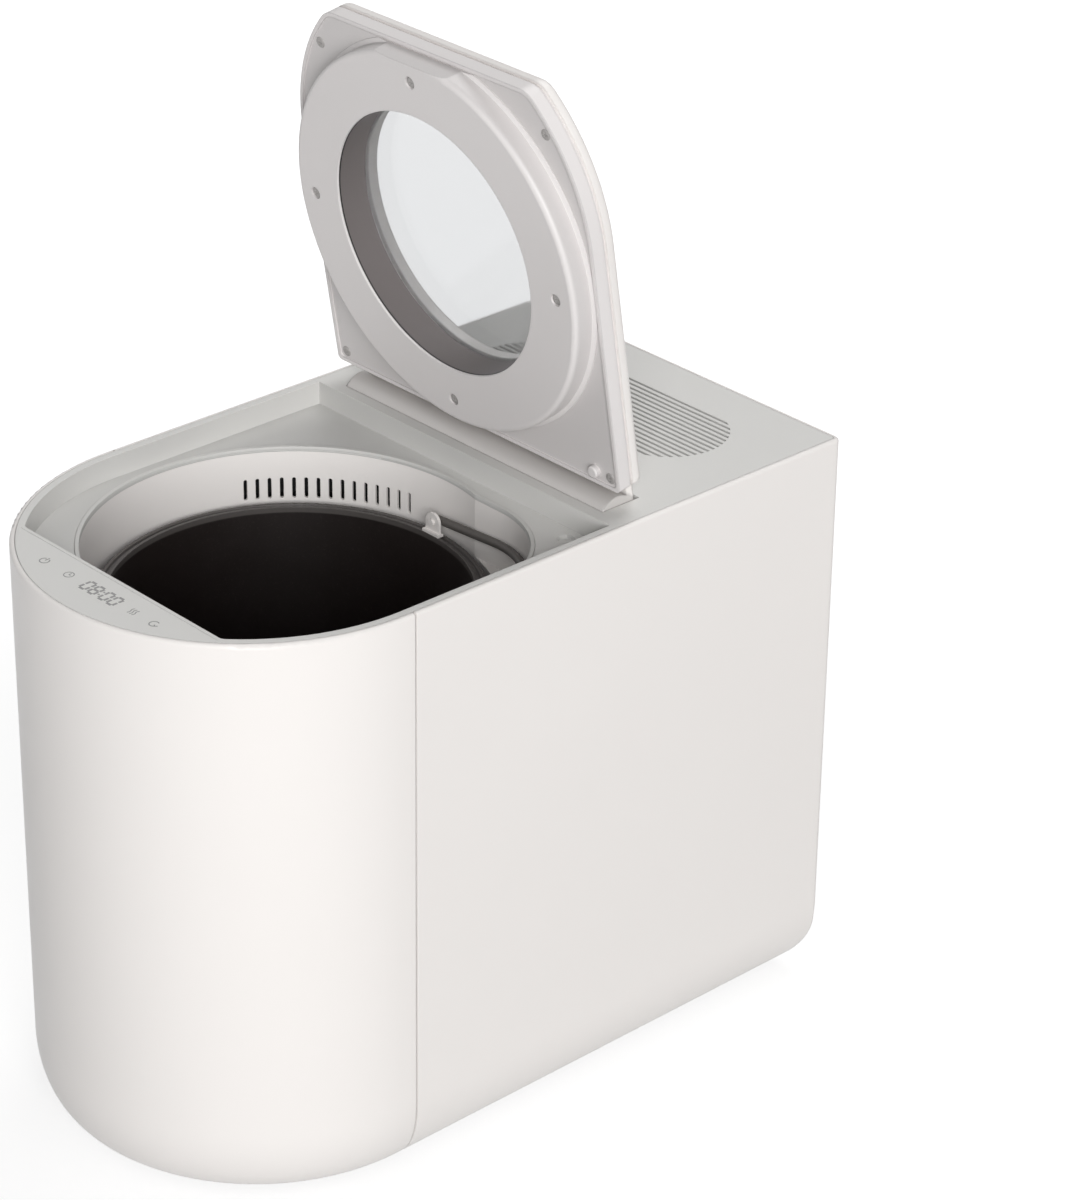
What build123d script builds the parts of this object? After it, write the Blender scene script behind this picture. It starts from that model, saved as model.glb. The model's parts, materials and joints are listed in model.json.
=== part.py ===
from build123d import *
import os
from math import acos, asin, cos, degrees, pi, radians, sin, tan

# Electric kitchen composter with a hinged window lid, a lift-out bucket and a motor-driven paddle.
# Millimetres. +Z is up, the round nose faces -Y, and the origin is on the floor under the middle of the body.

os.makedirs("parts", exist_ok=True)

# ---------------------------------------------------------------- driving sizes: body
body_width = 230.0
body_length = 402.0
body_top = 313.0  # top of the body above the floor
foot_height = 3.4
wall = 2.6
corner_in = 19.4  # bottom edge: how far it curves in
corner_up = 36.7  # bottom edge: how far up the curve starts
back_corner_radius = 4.3
top_edge_radius = 1.6
seam_gap = 0.8
seam_behind_nose = 4.0
lip_width = 20.0  # flat lip round the bottom opening of the shells
part_gap = 0.2  # gap between fixed mouldings that nest in each other
running_gap = 0.6  # gap round pieces that move past each other
seat_gap = 0.3  # gap between a moving piece and what it rests on
pin_gap = 0.05  # radial running clearance on pins and shafts

nose_radius = body_width / 2
front_y = -body_length / 2
back_y = body_length / 2
nose_y = front_y + nose_radius
shell_bottom = foot_height
floor_top = shell_bottom + wall

# ---------------------------------------------------------------- driving sizes: top frame
deck_thickness = 2.4
recess_depth = 12.0
deck_side = 6.5  # deck beside the recess
recess_draft = 0.8  # how much narrower the recess is at its foot
ledge_thickness = 2.4
chamber_offset = 23.3  # bucket axis behind the nose centre
recess_corner = 5.0
panel_length = 36.5  # from the nose's tip to the straight front edge of the recess
ledge_side = 7.3  # ledge beside the chamber's mouth
ledge_back = 8.0  # ledge behind the chamber's mouth
skirt_thickness = 2.0
vent_half_length = 50.0  # stadium of slits: half the distance between its end centres
vent_radius = 31.7
vent_shift = 2.1  # vent's middle behind the middle of the deck behind the lid
slit_pitch = 3.7
slit_width = 1.7

recess_half_width = nose_radius - deck_side
liner_radius = recess_half_width - ledge_side
chamber_y = nose_y + chamber_offset
recess_front_y = front_y + panel_length
recess_back_y = chamber_y + liner_radius + ledge_back
ledge_top = body_top - recess_depth
ledge_bottom = ledge_top - ledge_thickness
deck_bottom = body_top - deck_thickness

# ---------------------------------------------------------------- driving sizes: bucket, chamber, bail
rim_side_gap = 5.4  # between the bucket's rim and the chamber's wall
rim_reach = 4.3  # rim outside the bucket's wall
bucket_wall = 1.9
bucket_rim_drop = 40.0  # rim below the body's top
bucket_taper = 3.0  # how much narrower the bucket's floor is
liner_wall = 1.8
liner_floor = 98.0
rod_radius = 2.2
rod_drop = 33.5  # bail's pins below the body's top
bail_rise = 4.2  # degrees the folded bail rises towards its grip
bail_overhang = 2.2  # grip outside the bucket's rim
bail_corner = 57.0
pin_stub = 0.3  # pins' ends outside the bucket's inner wall
bracket_stand = 1.3  # bracket outside the pins' ends
bracket_gap = 0.4  # between a bracket and the bail's arm
pocket_gap = 0.9  # between the folded bail and the pocket it lies in
pocket_drop = 46.0  # pocket floor below the body's top
seal_width = 2.2
seal_depth = 1.3
bracket_half_width = 5.0
bracket_thickness = 1.5

bucket_rim_radius = liner_radius - rim_side_gap
bucket_outer = bucket_rim_radius - rim_reach
bucket_inner_radius = bucket_outer - bucket_wall
pin_end = bucket_inner_radius + pin_stub
bracket_inner = pin_end + bracket_stand
bail_half_length = bracket_inner + bracket_thickness + bracket_gap + rod_radius
bail_reach = bucket_rim_radius + bail_overhang
pocket_grow = rod_radius + pocket_gap
pocket_half_length = bail_half_length + pocket_grow
rim_top = body_top - bucket_rim_drop
pocket_floor = body_top - pocket_drop
bail_z = body_top - rod_drop
plate_thickness = 5.0
plate_side = 2.6  # heating plate inside the bucket's floor
plate_radius = bucket_inner_radius - bucket_taper - plate_side
heating_top = liner_floor + liner_wall + plate_thickness
bucket_bottom = heating_top + seat_gap

# ---------------------------------------------------------------- driving sizes: lid and hinge
open_angle = 80.7  # the lid as it stands at rest, from closed
hinge_behind_recess = 17.5
hinge_below_top = 7.0
roll_radius = 12.0
trough_back = 14.0  # rear edge of the lid's slot behind the hinge axis
roll_inset = 9.0  # roll's ends inside the lid's sides
lid_side_gap = 3.9  # closed lid inside the recess, at its sides
lid_front_gap = 2.0
lid_back_gap = 2.2
lid_corner = 12.0
plate_depth = 7.5  # inner plate, from its rim face to its back
groove_depth = 2.0
cover_depth = 6.5
lid_skin = 2.6
rim_band = 2.0
plate_wall = 3.6
rim_step = 1.0
boss_gap = 1.2  # closed boss inside the chamber's wall
boss_height = 10.8
magnet_side = 16.6  # magnet inside the lid's side
magnet_back = 7.0
magnet_radius = 3.2
magnet_reach = 2.0
window_ring = 30.6  # flat ring between the window and the boss's side
window_depth = 18.1  # glass behind the boss face
glass_thickness = 3.0

lid_half_width = recess_half_width - lid_side_gap
lid_front = chamber_y - recess_front_y - lid_front_gap
lid_back = recess_back_y - lid_back_gap - chamber_y
roll_half_width = lid_half_width - roll_inset
boss_radius = liner_radius - boss_gap
window_radius = boss_radius - window_ring
magnet_u = lid_half_width - magnet_side
magnet_v = magnet_back - lid_back
hinge_y = recess_back_y + hinge_behind_recess
hinge_z = body_top - hinge_below_top
lid_seat = ledge_top + 2 * seat_gap
swing = radians(open_angle)
closed_dy = chamber_y - hinge_y
closed_dz = lid_seat - hinge_z
LID = Plane(
    origin=(
        0,
        hinge_y + closed_dy * cos(swing) + closed_dz * sin(swing),
        hinge_z - closed_dy * sin(swing) + closed_dz * cos(swing),
    ),
    x_dir=(1, 0, 0),
    z_dir=(0, -sin(swing), -cos(swing)),
)
cover_back = -(plate_depth + groove_depth + cover_depth)
cover_face = -(plate_depth + groove_depth)
lid_nose_v = chamber_y - nose_y
vent_y = (hinge_y + trough_back + back_y) / 2 + vent_shift
hinge_v = chamber_y - hinge_y
hinge_w = lid_seat - hinge_z
glass_front = boss_height - window_depth
glass_back = glass_front - glass_thickness


# ---------------------------------------------------------------- shared outlines
def body_plan(inset):
    """D-shaped plan of the body, moved in by inset, drawn in the sketch that is open."""
    half = nose_radius - inset
    back = back_y - inset
    corner = max(back_corner_radius - inset, 0.8)
    with Locations((0, nose_y)):
        Circle(half)
    with Locations((0, (nose_y + back - 2 * corner) / 2)):
        Rectangle(2 * half, back - 2 * corner - nose_y)
    with Locations((0, (nose_y + back) / 2 + corner)):
        RectangleRounded(2 * half, back - nose_y - 2 * corner, corner)


def body_solid(inset):
    """The body's outer shape, moved in by inset, with its rounded bottom edge."""
    half = nose_radius - inset
    low = shell_bottom + inset
    edge_in = corner_in - inset
    edge_up = corner_up - inset
    back = back_y - inset
    with BuildPart() as solid:
        with BuildSketch(Plane.XZ.offset(-nose_y)):
            with BuildLine():
                Line((0, body_top), (0, low))
                Line((0, low), (-(half - edge_in), low))
                EllipticalCenterArc((-(half - edge_in), low + edge_up), edge_in, edge_up, 180, arc_size=90)
                Line((-half, low + edge_up), (-half, body_top))
                Line((-half, body_top), (0, body_top))
            make_face()
        revolve(axis=Axis((0, nose_y, 0), (0, 0, 1)), revolution_arc=180)
        with BuildSketch(Plane.XZ.offset(-nose_y)):
            with BuildLine():
                Line((-half, body_top), (-half, low + edge_up))
                EllipticalCenterArc((-(half - edge_in), low + edge_up), edge_in, edge_up, 180, arc_size=90)
                Line((-(half - edge_in), low), (half - edge_in, low))
                EllipticalCenterArc((half - edge_in, low + edge_up), edge_in, edge_up, 270, arc_size=90)
                Line((half, low + edge_up), (half, body_top))
                Line((half, body_top), (-half, body_top))
            make_face()
        extrude(amount=-(back - nose_y))
    with BuildPart() as back_shape:
        with BuildSketch(Plane.YZ.offset(-half)):
            with BuildLine():
                Line((front_y - wall, body_top), (front_y - wall, low))
                Line((front_y - wall, low), (back - edge_in, low))
                EllipticalCenterArc((back - edge_in, low + edge_up), edge_in, edge_up, 270, arc_size=90)
                Line((back, low + edge_up), (back, body_top))
                Line((back, body_top), (front_y - wall, body_top))
            make_face()
        extrude(amount=2 * half)
        upright = back_shape.edges().filter_by(Axis.Z).group_by(Axis.Y)[-1]
        fillet(upright, max(back_corner_radius - inset, 0.8))
    return solid.part & back_shape.part


def recess_plan(inset):
    """Plan of the lid's recess, drawn in the sketch that is open."""
    half = recess_half_width - inset
    front = recess_front_y + inset
    back = recess_back_y - inset
    with Locations((0, nose_y)):
        Circle(half)
    with Locations((0, (nose_y + back) / 2)):
        Rectangle(2 * half, back - nose_y)
    with Locations((0, (front + back) / 2)):
        Rectangle(2 * body_width, back - front, mode=Mode.INTERSECT)


def round_recess_corners(sketch, inset):
    """Rounds the two ends of a recess outline's straight front edge."""
    fillet(sketch.vertices().group_by(Axis.Y)[0], recess_corner - inset)


def well_plan(grow):
    """Plan of the chamber's mouth: the round well, cut straight in front, and the bail's pocket beside it."""
    centre_x = bail_reach - bail_corner
    reach_y = bail_half_length - bail_corner
    corner = bail_corner + pocket_grow + grow
    with Locations((0, chamber_y)):
        Circle(liner_radius + grow)
    with Locations((centre_x / 2, chamber_y)):
        Rectangle(centre_x, 2 * (pocket_half_length + grow))
    with Locations((centre_x, chamber_y + reach_y), (centre_x, chamber_y - reach_y)):
        Circle(corner)
    with Locations((centre_x + corner / 2, chamber_y)):
        Rectangle(corner, 2 * reach_y)
    with Locations((0, chamber_y + body_width / 2 - pocket_half_length - grow)):
        Rectangle(2 * body_width, body_width, mode=Mode.INTERSECT)


def lid_plan(inset):
    """Outline of the lid's inner plate in the lid's own plane, drawn in the sketch that is open."""
    half = lid_half_width - inset
    front = lid_front - inset
    back = -lid_back + inset
    with Locations((0, lid_nose_v)):
        Circle(half)
    with Locations((0, (lid_nose_v + back) / 2)):
        Rectangle(2 * half, lid_nose_v - back)
    with Locations((0, (front + back) / 2)):
        Rectangle(2 * body_width, front - back, mode=Mode.INTERSECT)


def round_lid_corners(sketch, inset):
    """Rounds the front corners of a lid outline and eases the rear ones."""
    fillet(sketch.vertices().group_by(Axis.Y)[-1], lid_corner - inset / 2)
    fillet(sketch.vertices().group_by(Axis.Y)[0], 2.5)


# ---------------------------------------------------------------- shells
shell_hull = body_solid(0)
shell_cavity = body_solid(wall)
seam_y = nose_y + seam_behind_nose
opening_inset = corner_in + lip_width
inlet_z = 62.0
inlet_width = 28.0
inlet_height = 20.5
tongue_depth = 5.0
tongue_thickness = 1.2
rim_fit = 20.0  # how far the top frame's skirt may reach down inside the shells

foot_radius = 8.0
foot_side = 29.0  # feet in from the body's sides
foot_stem_radius = 2.4
nose_foot_inset = 34.4
nose_foot_turn = radians(37.4)
foot_x = nose_radius - foot_side
nose_foot_x = (nose_radius - nose_foot_inset) * cos(nose_foot_turn)
nose_foot_y = nose_y - (nose_radius - nose_foot_inset) * sin(nose_foot_turn)
middle_foot_y = nose_y + 100.0
rear_foot_y = back_y - 43.0
foot_places = [
    (side * x, y)
    for side in (-1, 1)
    for x, y in ((nose_foot_x, nose_foot_y), (foot_x, middle_foot_y), (foot_x, rear_foot_y))
]

base_screw_radius = 1.5
base_screw_head = 3.0
front_screw_back = 40.0  # screws at the sides behind the nose's centre
middle_screw_front = 115.0  # screws at the sides ahead of the rear
rear_screw_front = 29.0
rear_screw_x = 40.0
base_slot_side = 75.0  # air slots inside the body's sides
base_slot_width = 3.5
base_slot_pitch = 9.0
nose_screw_reach = nose_radius - 31.2
nose_screw_turn = radians(56.7)
nose_screw = (nose_screw_reach * cos(nose_screw_turn), nose_y - nose_screw_reach * sin(nose_screw_turn))
base_screw_places = [
    (side * x, y)
    for side in (-1, 1)
    for x, y in (
        nose_screw,
        (foot_x, nose_y + front_screw_back),
        (foot_x, back_y - middle_screw_front),
        (rear_screw_x, back_y - rear_screw_front),
    )
]

with BuildPart() as whole_shell:
    add(shell_hull)
    top_edges = whole_shell.faces().sort_by(Axis.Z)[-1].edges()
    fillet(top_edges, top_edge_radius)
    add(shell_cavity, mode=Mode.SUBTRACT)
    with BuildSketch(Plane.XY.offset(shell_bottom)):
        body_plan(opening_inset)
    extrude(amount=wall, mode=Mode.SUBTRACT)
    with BuildSketch(Plane.XY.offset(shell_bottom)):
        with Locations(*foot_places):
            Circle(foot_stem_radius + pin_gap)
        with Locations(*base_screw_places):
            Circle(base_screw_radius + pin_gap)
    extrude(amount=wall, mode=Mode.SUBTRACT)

with BuildPart() as tongue_band:
    add(shell_cavity)
    with BuildSketch(Plane.XY.offset(floor_top)):
        with Locations((0, seam_y)):
            Rectangle(body_width, 2 * tongue_depth)
    extrude(amount=deck_bottom - rim_fit - floor_top, mode=Mode.INTERSECT)
    add(body_solid(wall + tongue_thickness), mode=Mode.SUBTRACT)
    with BuildSketch(Plane.XY.offset(floor_top - 1)):
        with Locations((0, seam_y)):
            Rectangle(2 * (nose_radius - corner_in), 3 * tongue_depth)
    extrude(amount=corner_up, mode=Mode.SUBTRACT)

with BuildPart() as front_shell:
    add(whole_shell.part)
    with BuildSketch(Plane.XY):
        with Locations((0, seam_y - seam_gap / 2 - body_length / 2)):
            Rectangle(2 * body_width, body_length)
    extrude(amount=body_top + 10, mode=Mode.INTERSECT)
    add(tongue_band.part)
front_shell.part.label = "front_shell"
export_step(front_shell.part, "parts/front_shell.step")

with BuildPart() as rear_shell:
    add(whole_shell.part)
    with BuildSketch(Plane.XY):
        with Locations((0, seam_y + seam_gap / 2 + body_length / 2)):
            Rectangle(2 * body_width, body_length)
    extrude(amount=body_top + 10, mode=Mode.INTERSECT)
    with BuildSketch(Plane.XZ.offset(-(back_y + 1))):
        with Locations((0, inlet_z)):
            Rectangle(inlet_width, inlet_height)
    extrude(amount=3 * wall, mode=Mode.SUBTRACT)
rear_shell.part.label = "rear_shell"
export_step(rear_shell.part, "parts/rear_shell.step")

# ---------------------------------------------------------------- base plate, feet, screws
plate_inset = corner_in + 1.0
base_thickness = 3.0
base_top = floor_top + base_thickness
with BuildPart() as base_plate:
    with BuildSketch(Plane.XY.offset(floor_top)):
        body_plan(plate_inset)
    extrude(amount=base_thickness)
    with BuildSketch(Plane.XY.offset(floor_top)):
        with Locations(*foot_places):
            Circle(foot_stem_radius + pin_gap)
        with Locations(*base_screw_places):
            Circle(base_screw_radius + pin_gap)
        with Locations((0, vent_y)):
            with GridLocations(0, base_slot_pitch, 1, 5):
                SlotOverall(2 * (nose_radius - base_slot_side), base_slot_width)
    extrude(amount=base_thickness, mode=Mode.SUBTRACT)
base_plate.part.label = "base_plate"
export_step(base_plate.part, "parts/base_plate.step")

with BuildPart() as feet:
    with BuildSketch(Plane.XY):
        with Locations(*foot_places):
            Circle(foot_radius)
    extrude(amount=foot_height)
    chamfer(feet.faces().sort_by(Axis.Z)[: len(foot_places)].edges(), 0.8)
    with BuildSketch(Plane.XY.offset(foot_height)):
        with Locations(*foot_places):
            Circle(foot_stem_radius)
    extrude(amount=wall + base_thickness)
feet.part.label = "feet"
export_step(feet.part, "parts/feet.step")

with BuildPart() as base_screws:
    with BuildSketch(Plane.XY.offset(shell_bottom - 1.6)):
        with Locations(*base_screw_places):
            Circle(base_screw_head)
    extrude(amount=1.6)
    with BuildSketch(Plane.XY.offset(shell_bottom)):
        with Locations(*base_screw_places):
            Circle(base_screw_radius)
    extrude(amount=wall + base_thickness)
base_screws.part.label = "base_screws"
export_step(base_screws.part, "parts/base_screws.step")

# ---------------------------------------------------------------- top frame
trough_radius = roll_radius + running_gap
trough_wall = 1.8
trough_half_width = roll_half_width + running_gap
pin_radius = 2.5
pin_boss = 7.0  # length of the pins' bosses at the trough's ends
panel_depth = 1.5
panel_edge = 4.0  # deck outside the panel, at the body's side
panel_corner = 0.5
panel_strip = 2.0  # strip of deck between the panel and the recess
display_x = 4.0
display_y = front_y + 22.5
display_length = 28.0
display_width = 11.0
touch_board_length = 124.0
touch_board_width = 19.0
panel_radius = nose_radius - panel_edge


def panel_plan(inset):
    """Plan of the control panel in front of the recess, drawn in the sketch that is open."""
    with Locations((0, nose_y)):
        Circle(panel_radius - inset)
    with Locations((0, recess_front_y - panel_strip - inset - body_length / 2)):
        Rectangle(2 * body_width, body_length, mode=Mode.INTERSECT)


with BuildPart() as trough_outer:
    with BuildSketch(Plane.YZ.offset(-(trough_half_width + pin_boss))):
        with Locations((hinge_y, hinge_z)):
            Circle(trough_radius + trough_wall)
        with Locations((hinge_y + (trough_back + trough_wall) / 2, (hinge_z - 2 + body_top) / 2)):
            Rectangle(trough_back + trough_wall, body_top - hinge_z + 2)
    extrude(amount=2 * (trough_half_width + pin_boss))
    with BuildSketch(Plane.XY.offset(body_top)):
        Rectangle(2 * body_width, 2 * body_length)
    extrude(amount=40, mode=Mode.SUBTRACT)

with BuildPart() as trough_inner:
    with BuildSketch(Plane.YZ.offset(-trough_half_width)):
        with Locations((hinge_y, hinge_z)):
            Circle(trough_radius)
        with Locations((hinge_y + trough_back / 2, hinge_z + body_top / 2)):
            Rectangle(trough_back, body_top)
    extrude(amount=2 * trough_half_width)

with BuildPart() as top_frame:
    with BuildSketch(Plane.XY.offset(deck_bottom)):
        body_plan(wall + part_gap)
    extrude(amount=deck_thickness)
    with BuildSketch(Plane.XY.offset(body_top - rim_fit)):
        body_plan(wall + part_gap)
    extrude(amount=rim_fit - deck_thickness)
    with BuildSketch(Plane.XY.offset(body_top - rim_fit)):
        body_plan(wall + part_gap + skirt_thickness)
    extrude(amount=rim_fit - deck_thickness, mode=Mode.SUBTRACT)
    with BuildSketch(Plane.XY.offset(ledge_bottom)):
        recess_plan(-skirt_thickness)
    extrude(amount=recess_depth + ledge_thickness - deck_thickness)
    add(trough_outer.part)
    with BuildSketch(Plane.XY.offset(body_top - panel_depth)):
        panel_plan(0)
    extrude(amount=panel_depth, mode=Mode.SUBTRACT)
    with BuildSketch(Plane.XY.offset(deck_bottom)):
        with Locations((display_x, display_y)):
            Rectangle(display_length + 2 * part_gap, display_width + 2 * part_gap)
    extrude(amount=deck_thickness, mode=Mode.SUBTRACT)
    with BuildSketch(Plane.XY.offset(deck_bottom)):
        slit_count = int(2 * (vent_radius - 1) / slit_pitch)
        with Locations((0, vent_y)):
            with GridLocations(0, slit_pitch, 1, slit_count):
                Rectangle(2 * (vent_half_length + vent_radius), slit_width)
            SlotCenterToCenter(2 * vent_half_length, 2 * vent_radius, mode=Mode.INTERSECT)
    extrude(amount=deck_thickness, mode=Mode.SUBTRACT)
    with BuildSketch(Plane.XY.offset(body_top)) as recess_sketch:
        recess_plan(0)
        round_recess_corners(recess_sketch, 0)
    extrude(amount=-recess_depth, taper=degrees(asin(recess_draft / recess_depth)), mode=Mode.SUBTRACT)
    with BuildSketch(Plane.XY.offset(ledge_bottom)):
        well_plan(0)
    extrude(amount=ledge_thickness, mode=Mode.SUBTRACT)
    with BuildSketch(Plane.XY.offset(ledge_top)):
        with Locations((magnet_u, chamber_y - magnet_v)):
            Circle(magnet_radius + 2 * running_gap)
    extrude(amount=-(magnet_reach - seat_gap), taper=20, mode=Mode.SUBTRACT)
    with BuildSketch(Plane.XY.offset(ledge_top - seal_depth)):
        well_plan(seal_width)
    extrude(amount=seal_depth, mode=Mode.SUBTRACT)
    add(trough_inner.part, mode=Mode.SUBTRACT)
    with BuildSketch(Plane.YZ.offset(-(trough_half_width + pin_boss))):
        with Locations((hinge_y, hinge_z)):
            Circle(pin_radius + pin_gap)
    extrude(amount=2 * (trough_half_width + pin_boss), mode=Mode.SUBTRACT)
top_frame.part.label = "top_frame"
export_step(top_frame.part, "parts/top_frame.step")

# ---------------------------------------------------------------- control panel, display, touch board, seal
touch_board_thickness = 1.6

with BuildPart() as control_panel:
    with BuildSketch(Plane.XY.offset(body_top - panel_depth)):
        panel_plan(part_gap)
        with Locations((display_x, display_y)):
            Rectangle(display_length + part_gap, display_width + part_gap, mode=Mode.SUBTRACT)
    extrude(amount=panel_depth)
    fillet(control_panel.edges().filter_by(Axis.Z).group_by(Axis.Y)[-1], panel_corner)
control_panel.part.label = "control_panel"
export_step(control_panel.part, "parts/control_panel.step")

with BuildPart() as display:
    with BuildSketch(Plane.XY.offset(deck_bottom)):
        with Locations((display_x, display_y)):
            Rectangle(display_length, display_width)
    extrude(amount=deck_thickness)
display.part.label = "display"
export_step(display.part, "parts/display.step")

with BuildPart() as touch_board:
    with BuildSketch(Plane.XY.offset(deck_bottom - touch_board_thickness)):
        with Locations((0, nose_y)):
            Circle(nose_radius - wall - part_gap - skirt_thickness - 2)
        with Locations((0, display_y)):
            Rectangle(touch_board_length, touch_board_width, mode=Mode.INTERSECT)
    extrude(amount=touch_board_thickness)
touch_board.part.label = "touch_board"
export_step(touch_board.part, "parts/touch_board.step")

with BuildPart() as chamber_seal:
    with BuildSketch(Plane.XY.offset(ledge_top - seal_depth)):
        well_plan(seal_width - part_gap)
    extrude(amount=seal_depth + seat_gap)
    with BuildSketch(Plane.XY.offset(ledge_top - seal_depth)):
        well_plan(0)
    extrude(amount=seal_depth + seat_gap, mode=Mode.SUBTRACT)
chamber_seal.part.label = "chamber_seal"
export_step(chamber_seal.part, "parts/chamber_seal.step")

# ---------------------------------------------------------------- chamber liner
flange_thickness = 1.8
flange_width = 3.4
grille_count = 15
grille_step = 3.5  # degrees between slots
grille_middle = 129.0  # degrees from +X, at the rear left
grille_slot_width = 1.9
grille_slot_height = 11.5
grille_drop = 34.8  # middle of the slots below the body's top
shaft_radius = 5.0
shaft_seal_radius = 10.0
liner_floor_top = liner_floor + liner_wall

with BuildPart() as grille_slots:
    for i in range(grille_count):
        angle = radians(grille_middle + (i - (grille_count - 1) / 2) * grille_step)
        x, y = liner_radius * cos(angle), chamber_y + liner_radius * sin(angle)
        origin = (x, y, body_top - grille_drop)
        radial = Plane(origin=origin, x_dir=(-sin(angle), cos(angle), 0), z_dir=(cos(angle), sin(angle), 0))
        with BuildSketch(radial.offset(-liner_wall)):
            SlotOverall(grille_slot_height, grille_slot_width, rotation=90)
        extrude(amount=3 * liner_wall)

with BuildPart() as chamber_liner:
    with BuildSketch(Plane.XY.offset(liner_floor)):
        with Locations((0, chamber_y)):
            Circle(liner_radius + liner_wall)
    extrude(amount=ledge_bottom - liner_floor)
    with BuildSketch(Plane.XY.offset(pocket_floor - liner_wall)):
        well_plan(liner_wall)
    extrude(amount=ledge_bottom - pocket_floor + liner_wall)
    with BuildSketch(Plane.XY.offset(ledge_bottom - flange_thickness)):
        well_plan(liner_wall + flange_width)
    extrude(amount=flange_thickness)
    with BuildSketch(Plane.XY.offset(liner_floor_top)):
        with Locations((0, chamber_y)):
            Circle(liner_radius)
    extrude(amount=ledge_bottom - liner_floor_top, mode=Mode.SUBTRACT)
    with BuildSketch(Plane.XY.offset(pocket_floor)):
        well_plan(0)
    extrude(amount=ledge_bottom - pocket_floor, mode=Mode.SUBTRACT)
    with BuildSketch(Plane.XY.offset(liner_floor)):
        with Locations((0, chamber_y)):
            Circle(shaft_seal_radius + part_gap / 2)
    extrude(amount=liner_wall, mode=Mode.SUBTRACT)
    add(grille_slots.part, mode=Mode.SUBTRACT)
chamber_liner.part.label = "chamber_liner"
export_step(chamber_liner.part, "parts/chamber_liner.step")


# ---------------------------------------------------------------- lid
cover_edge = 4.0
boss_skin = 2.5
boss_flare = 2.4  # foot of the boss outside its side
boss_base_height = 0.2
boss_base_edge = 0.4
boss_edge = 2.8
boss_flat = lid_front - 3.2  # the boss is cut straight in front
sleeve_wall = 2.0
sleeve_cover = 1.2  # boss skin over the sleeve's front end
groove_inset = 1.5
roll_bore_radius = 9.6
roll_end = 17.0
lip_depth = 4.0
window_lip = 0.4  # lip behind the glass, inside the sleeve
clamp_ring = 4.0
screw_head = 2.9
screw_shank = 1.5
screw_length = 6.0
boss_screw_inset = 12.7
front_screw_side = 24.2  # lid's front screws inside its outline
front_screw_inset = 19.8
rear_screw_side = 6.6
rear_screw_inset = 6.0
front_screw_u = lid_half_width - front_screw_side
front_screw_v = lid_front - front_screw_inset
rear_screw_u = lid_half_width - rear_screw_side
rear_screw_v = rear_screw_inset - lid_back
boss_screw_ring = boss_radius - boss_screw_inset
lid_screw_places = [
    (side * u, v)
    for u, v in ((front_screw_u, front_screw_v), (rear_screw_u, rear_screw_v))
    for side in (-1, 1)
]

boss_base = boss_radius + boss_flare
window_opening = window_radius - window_lip
sleeve_radius = window_radius + sleeve_wall
tube_bore = sleeve_radius + part_gap
tube_radius = tube_bore + boss_skin
plate_face = -rim_step
plate_skin = plate_face - boss_skin
boss_root = boss_base - 5.0
LID_RADIAL = Plane(origin=LID.origin, x_dir=LID.x_dir, z_dir=-LID.y_dir)
LID_SIDE = Plane(origin=LID.origin, x_dir=LID.y_dir, z_dir=LID.x_dir)
LID_AXIS = Axis(LID.origin, LID.z_dir)

with BuildPart() as lid_cover:
    with BuildSketch(LID.offset(cover_back)) as cover_sketch:
        lid_plan(0)
        round_lid_corners(cover_sketch, 0)
    extrude(amount=cover_depth)
    fillet(lid_cover.faces().sort_by(LID_AXIS)[0].edges(), cover_edge)
    with BuildSketch(LID.offset(cover_back + lid_skin)) as cover_hollow:
        lid_plan(lid_skin)
        round_lid_corners(cover_hollow, lid_skin)
    extrude(amount=cover_depth - lid_skin, mode=Mode.SUBTRACT)
    with BuildSketch(LID.offset(cover_back + lid_skin)):
        Circle(window_opening + clamp_ring)
    extrude(amount=glass_back - seat_gap - cover_back - lid_skin)
    with BuildSketch(LID.offset(cover_back)):
        Circle(window_opening)
    extrude(amount=glass_back - cover_back, mode=Mode.SUBTRACT)
    with BuildSketch(LID_SIDE.offset(-roll_half_width)):
        with BuildLine():
            Polyline(
                (-lid_back + lid_skin, cover_back),
                (hinge_v, cover_back),
                (hinge_v, cover_back + lip_depth),
                (-lid_back + lid_skin, cover_back + lip_depth),
                close=True,
            )
        make_face()
        with Locations((hinge_v, hinge_w)):
            Circle(roll_radius)
    extrude(amount=2 * roll_half_width)
    with BuildSketch(Plane.YZ.offset(-(roll_half_width - roll_end))):
        with Locations((hinge_y, hinge_z)):
            Circle(roll_bore_radius)
    extrude(amount=2 * (roll_half_width - roll_end), mode=Mode.SUBTRACT)
    with BuildSketch(Plane.YZ.offset(-roll_half_width)):
        with Locations((hinge_y, hinge_z)):
            Circle(pin_radius + pin_gap)
    extrude(amount=2 * roll_half_width, mode=Mode.SUBTRACT)
lid_cover.part.label = "lid_cover"
export_step(lid_cover.part, "parts/lid_cover.step")

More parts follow.
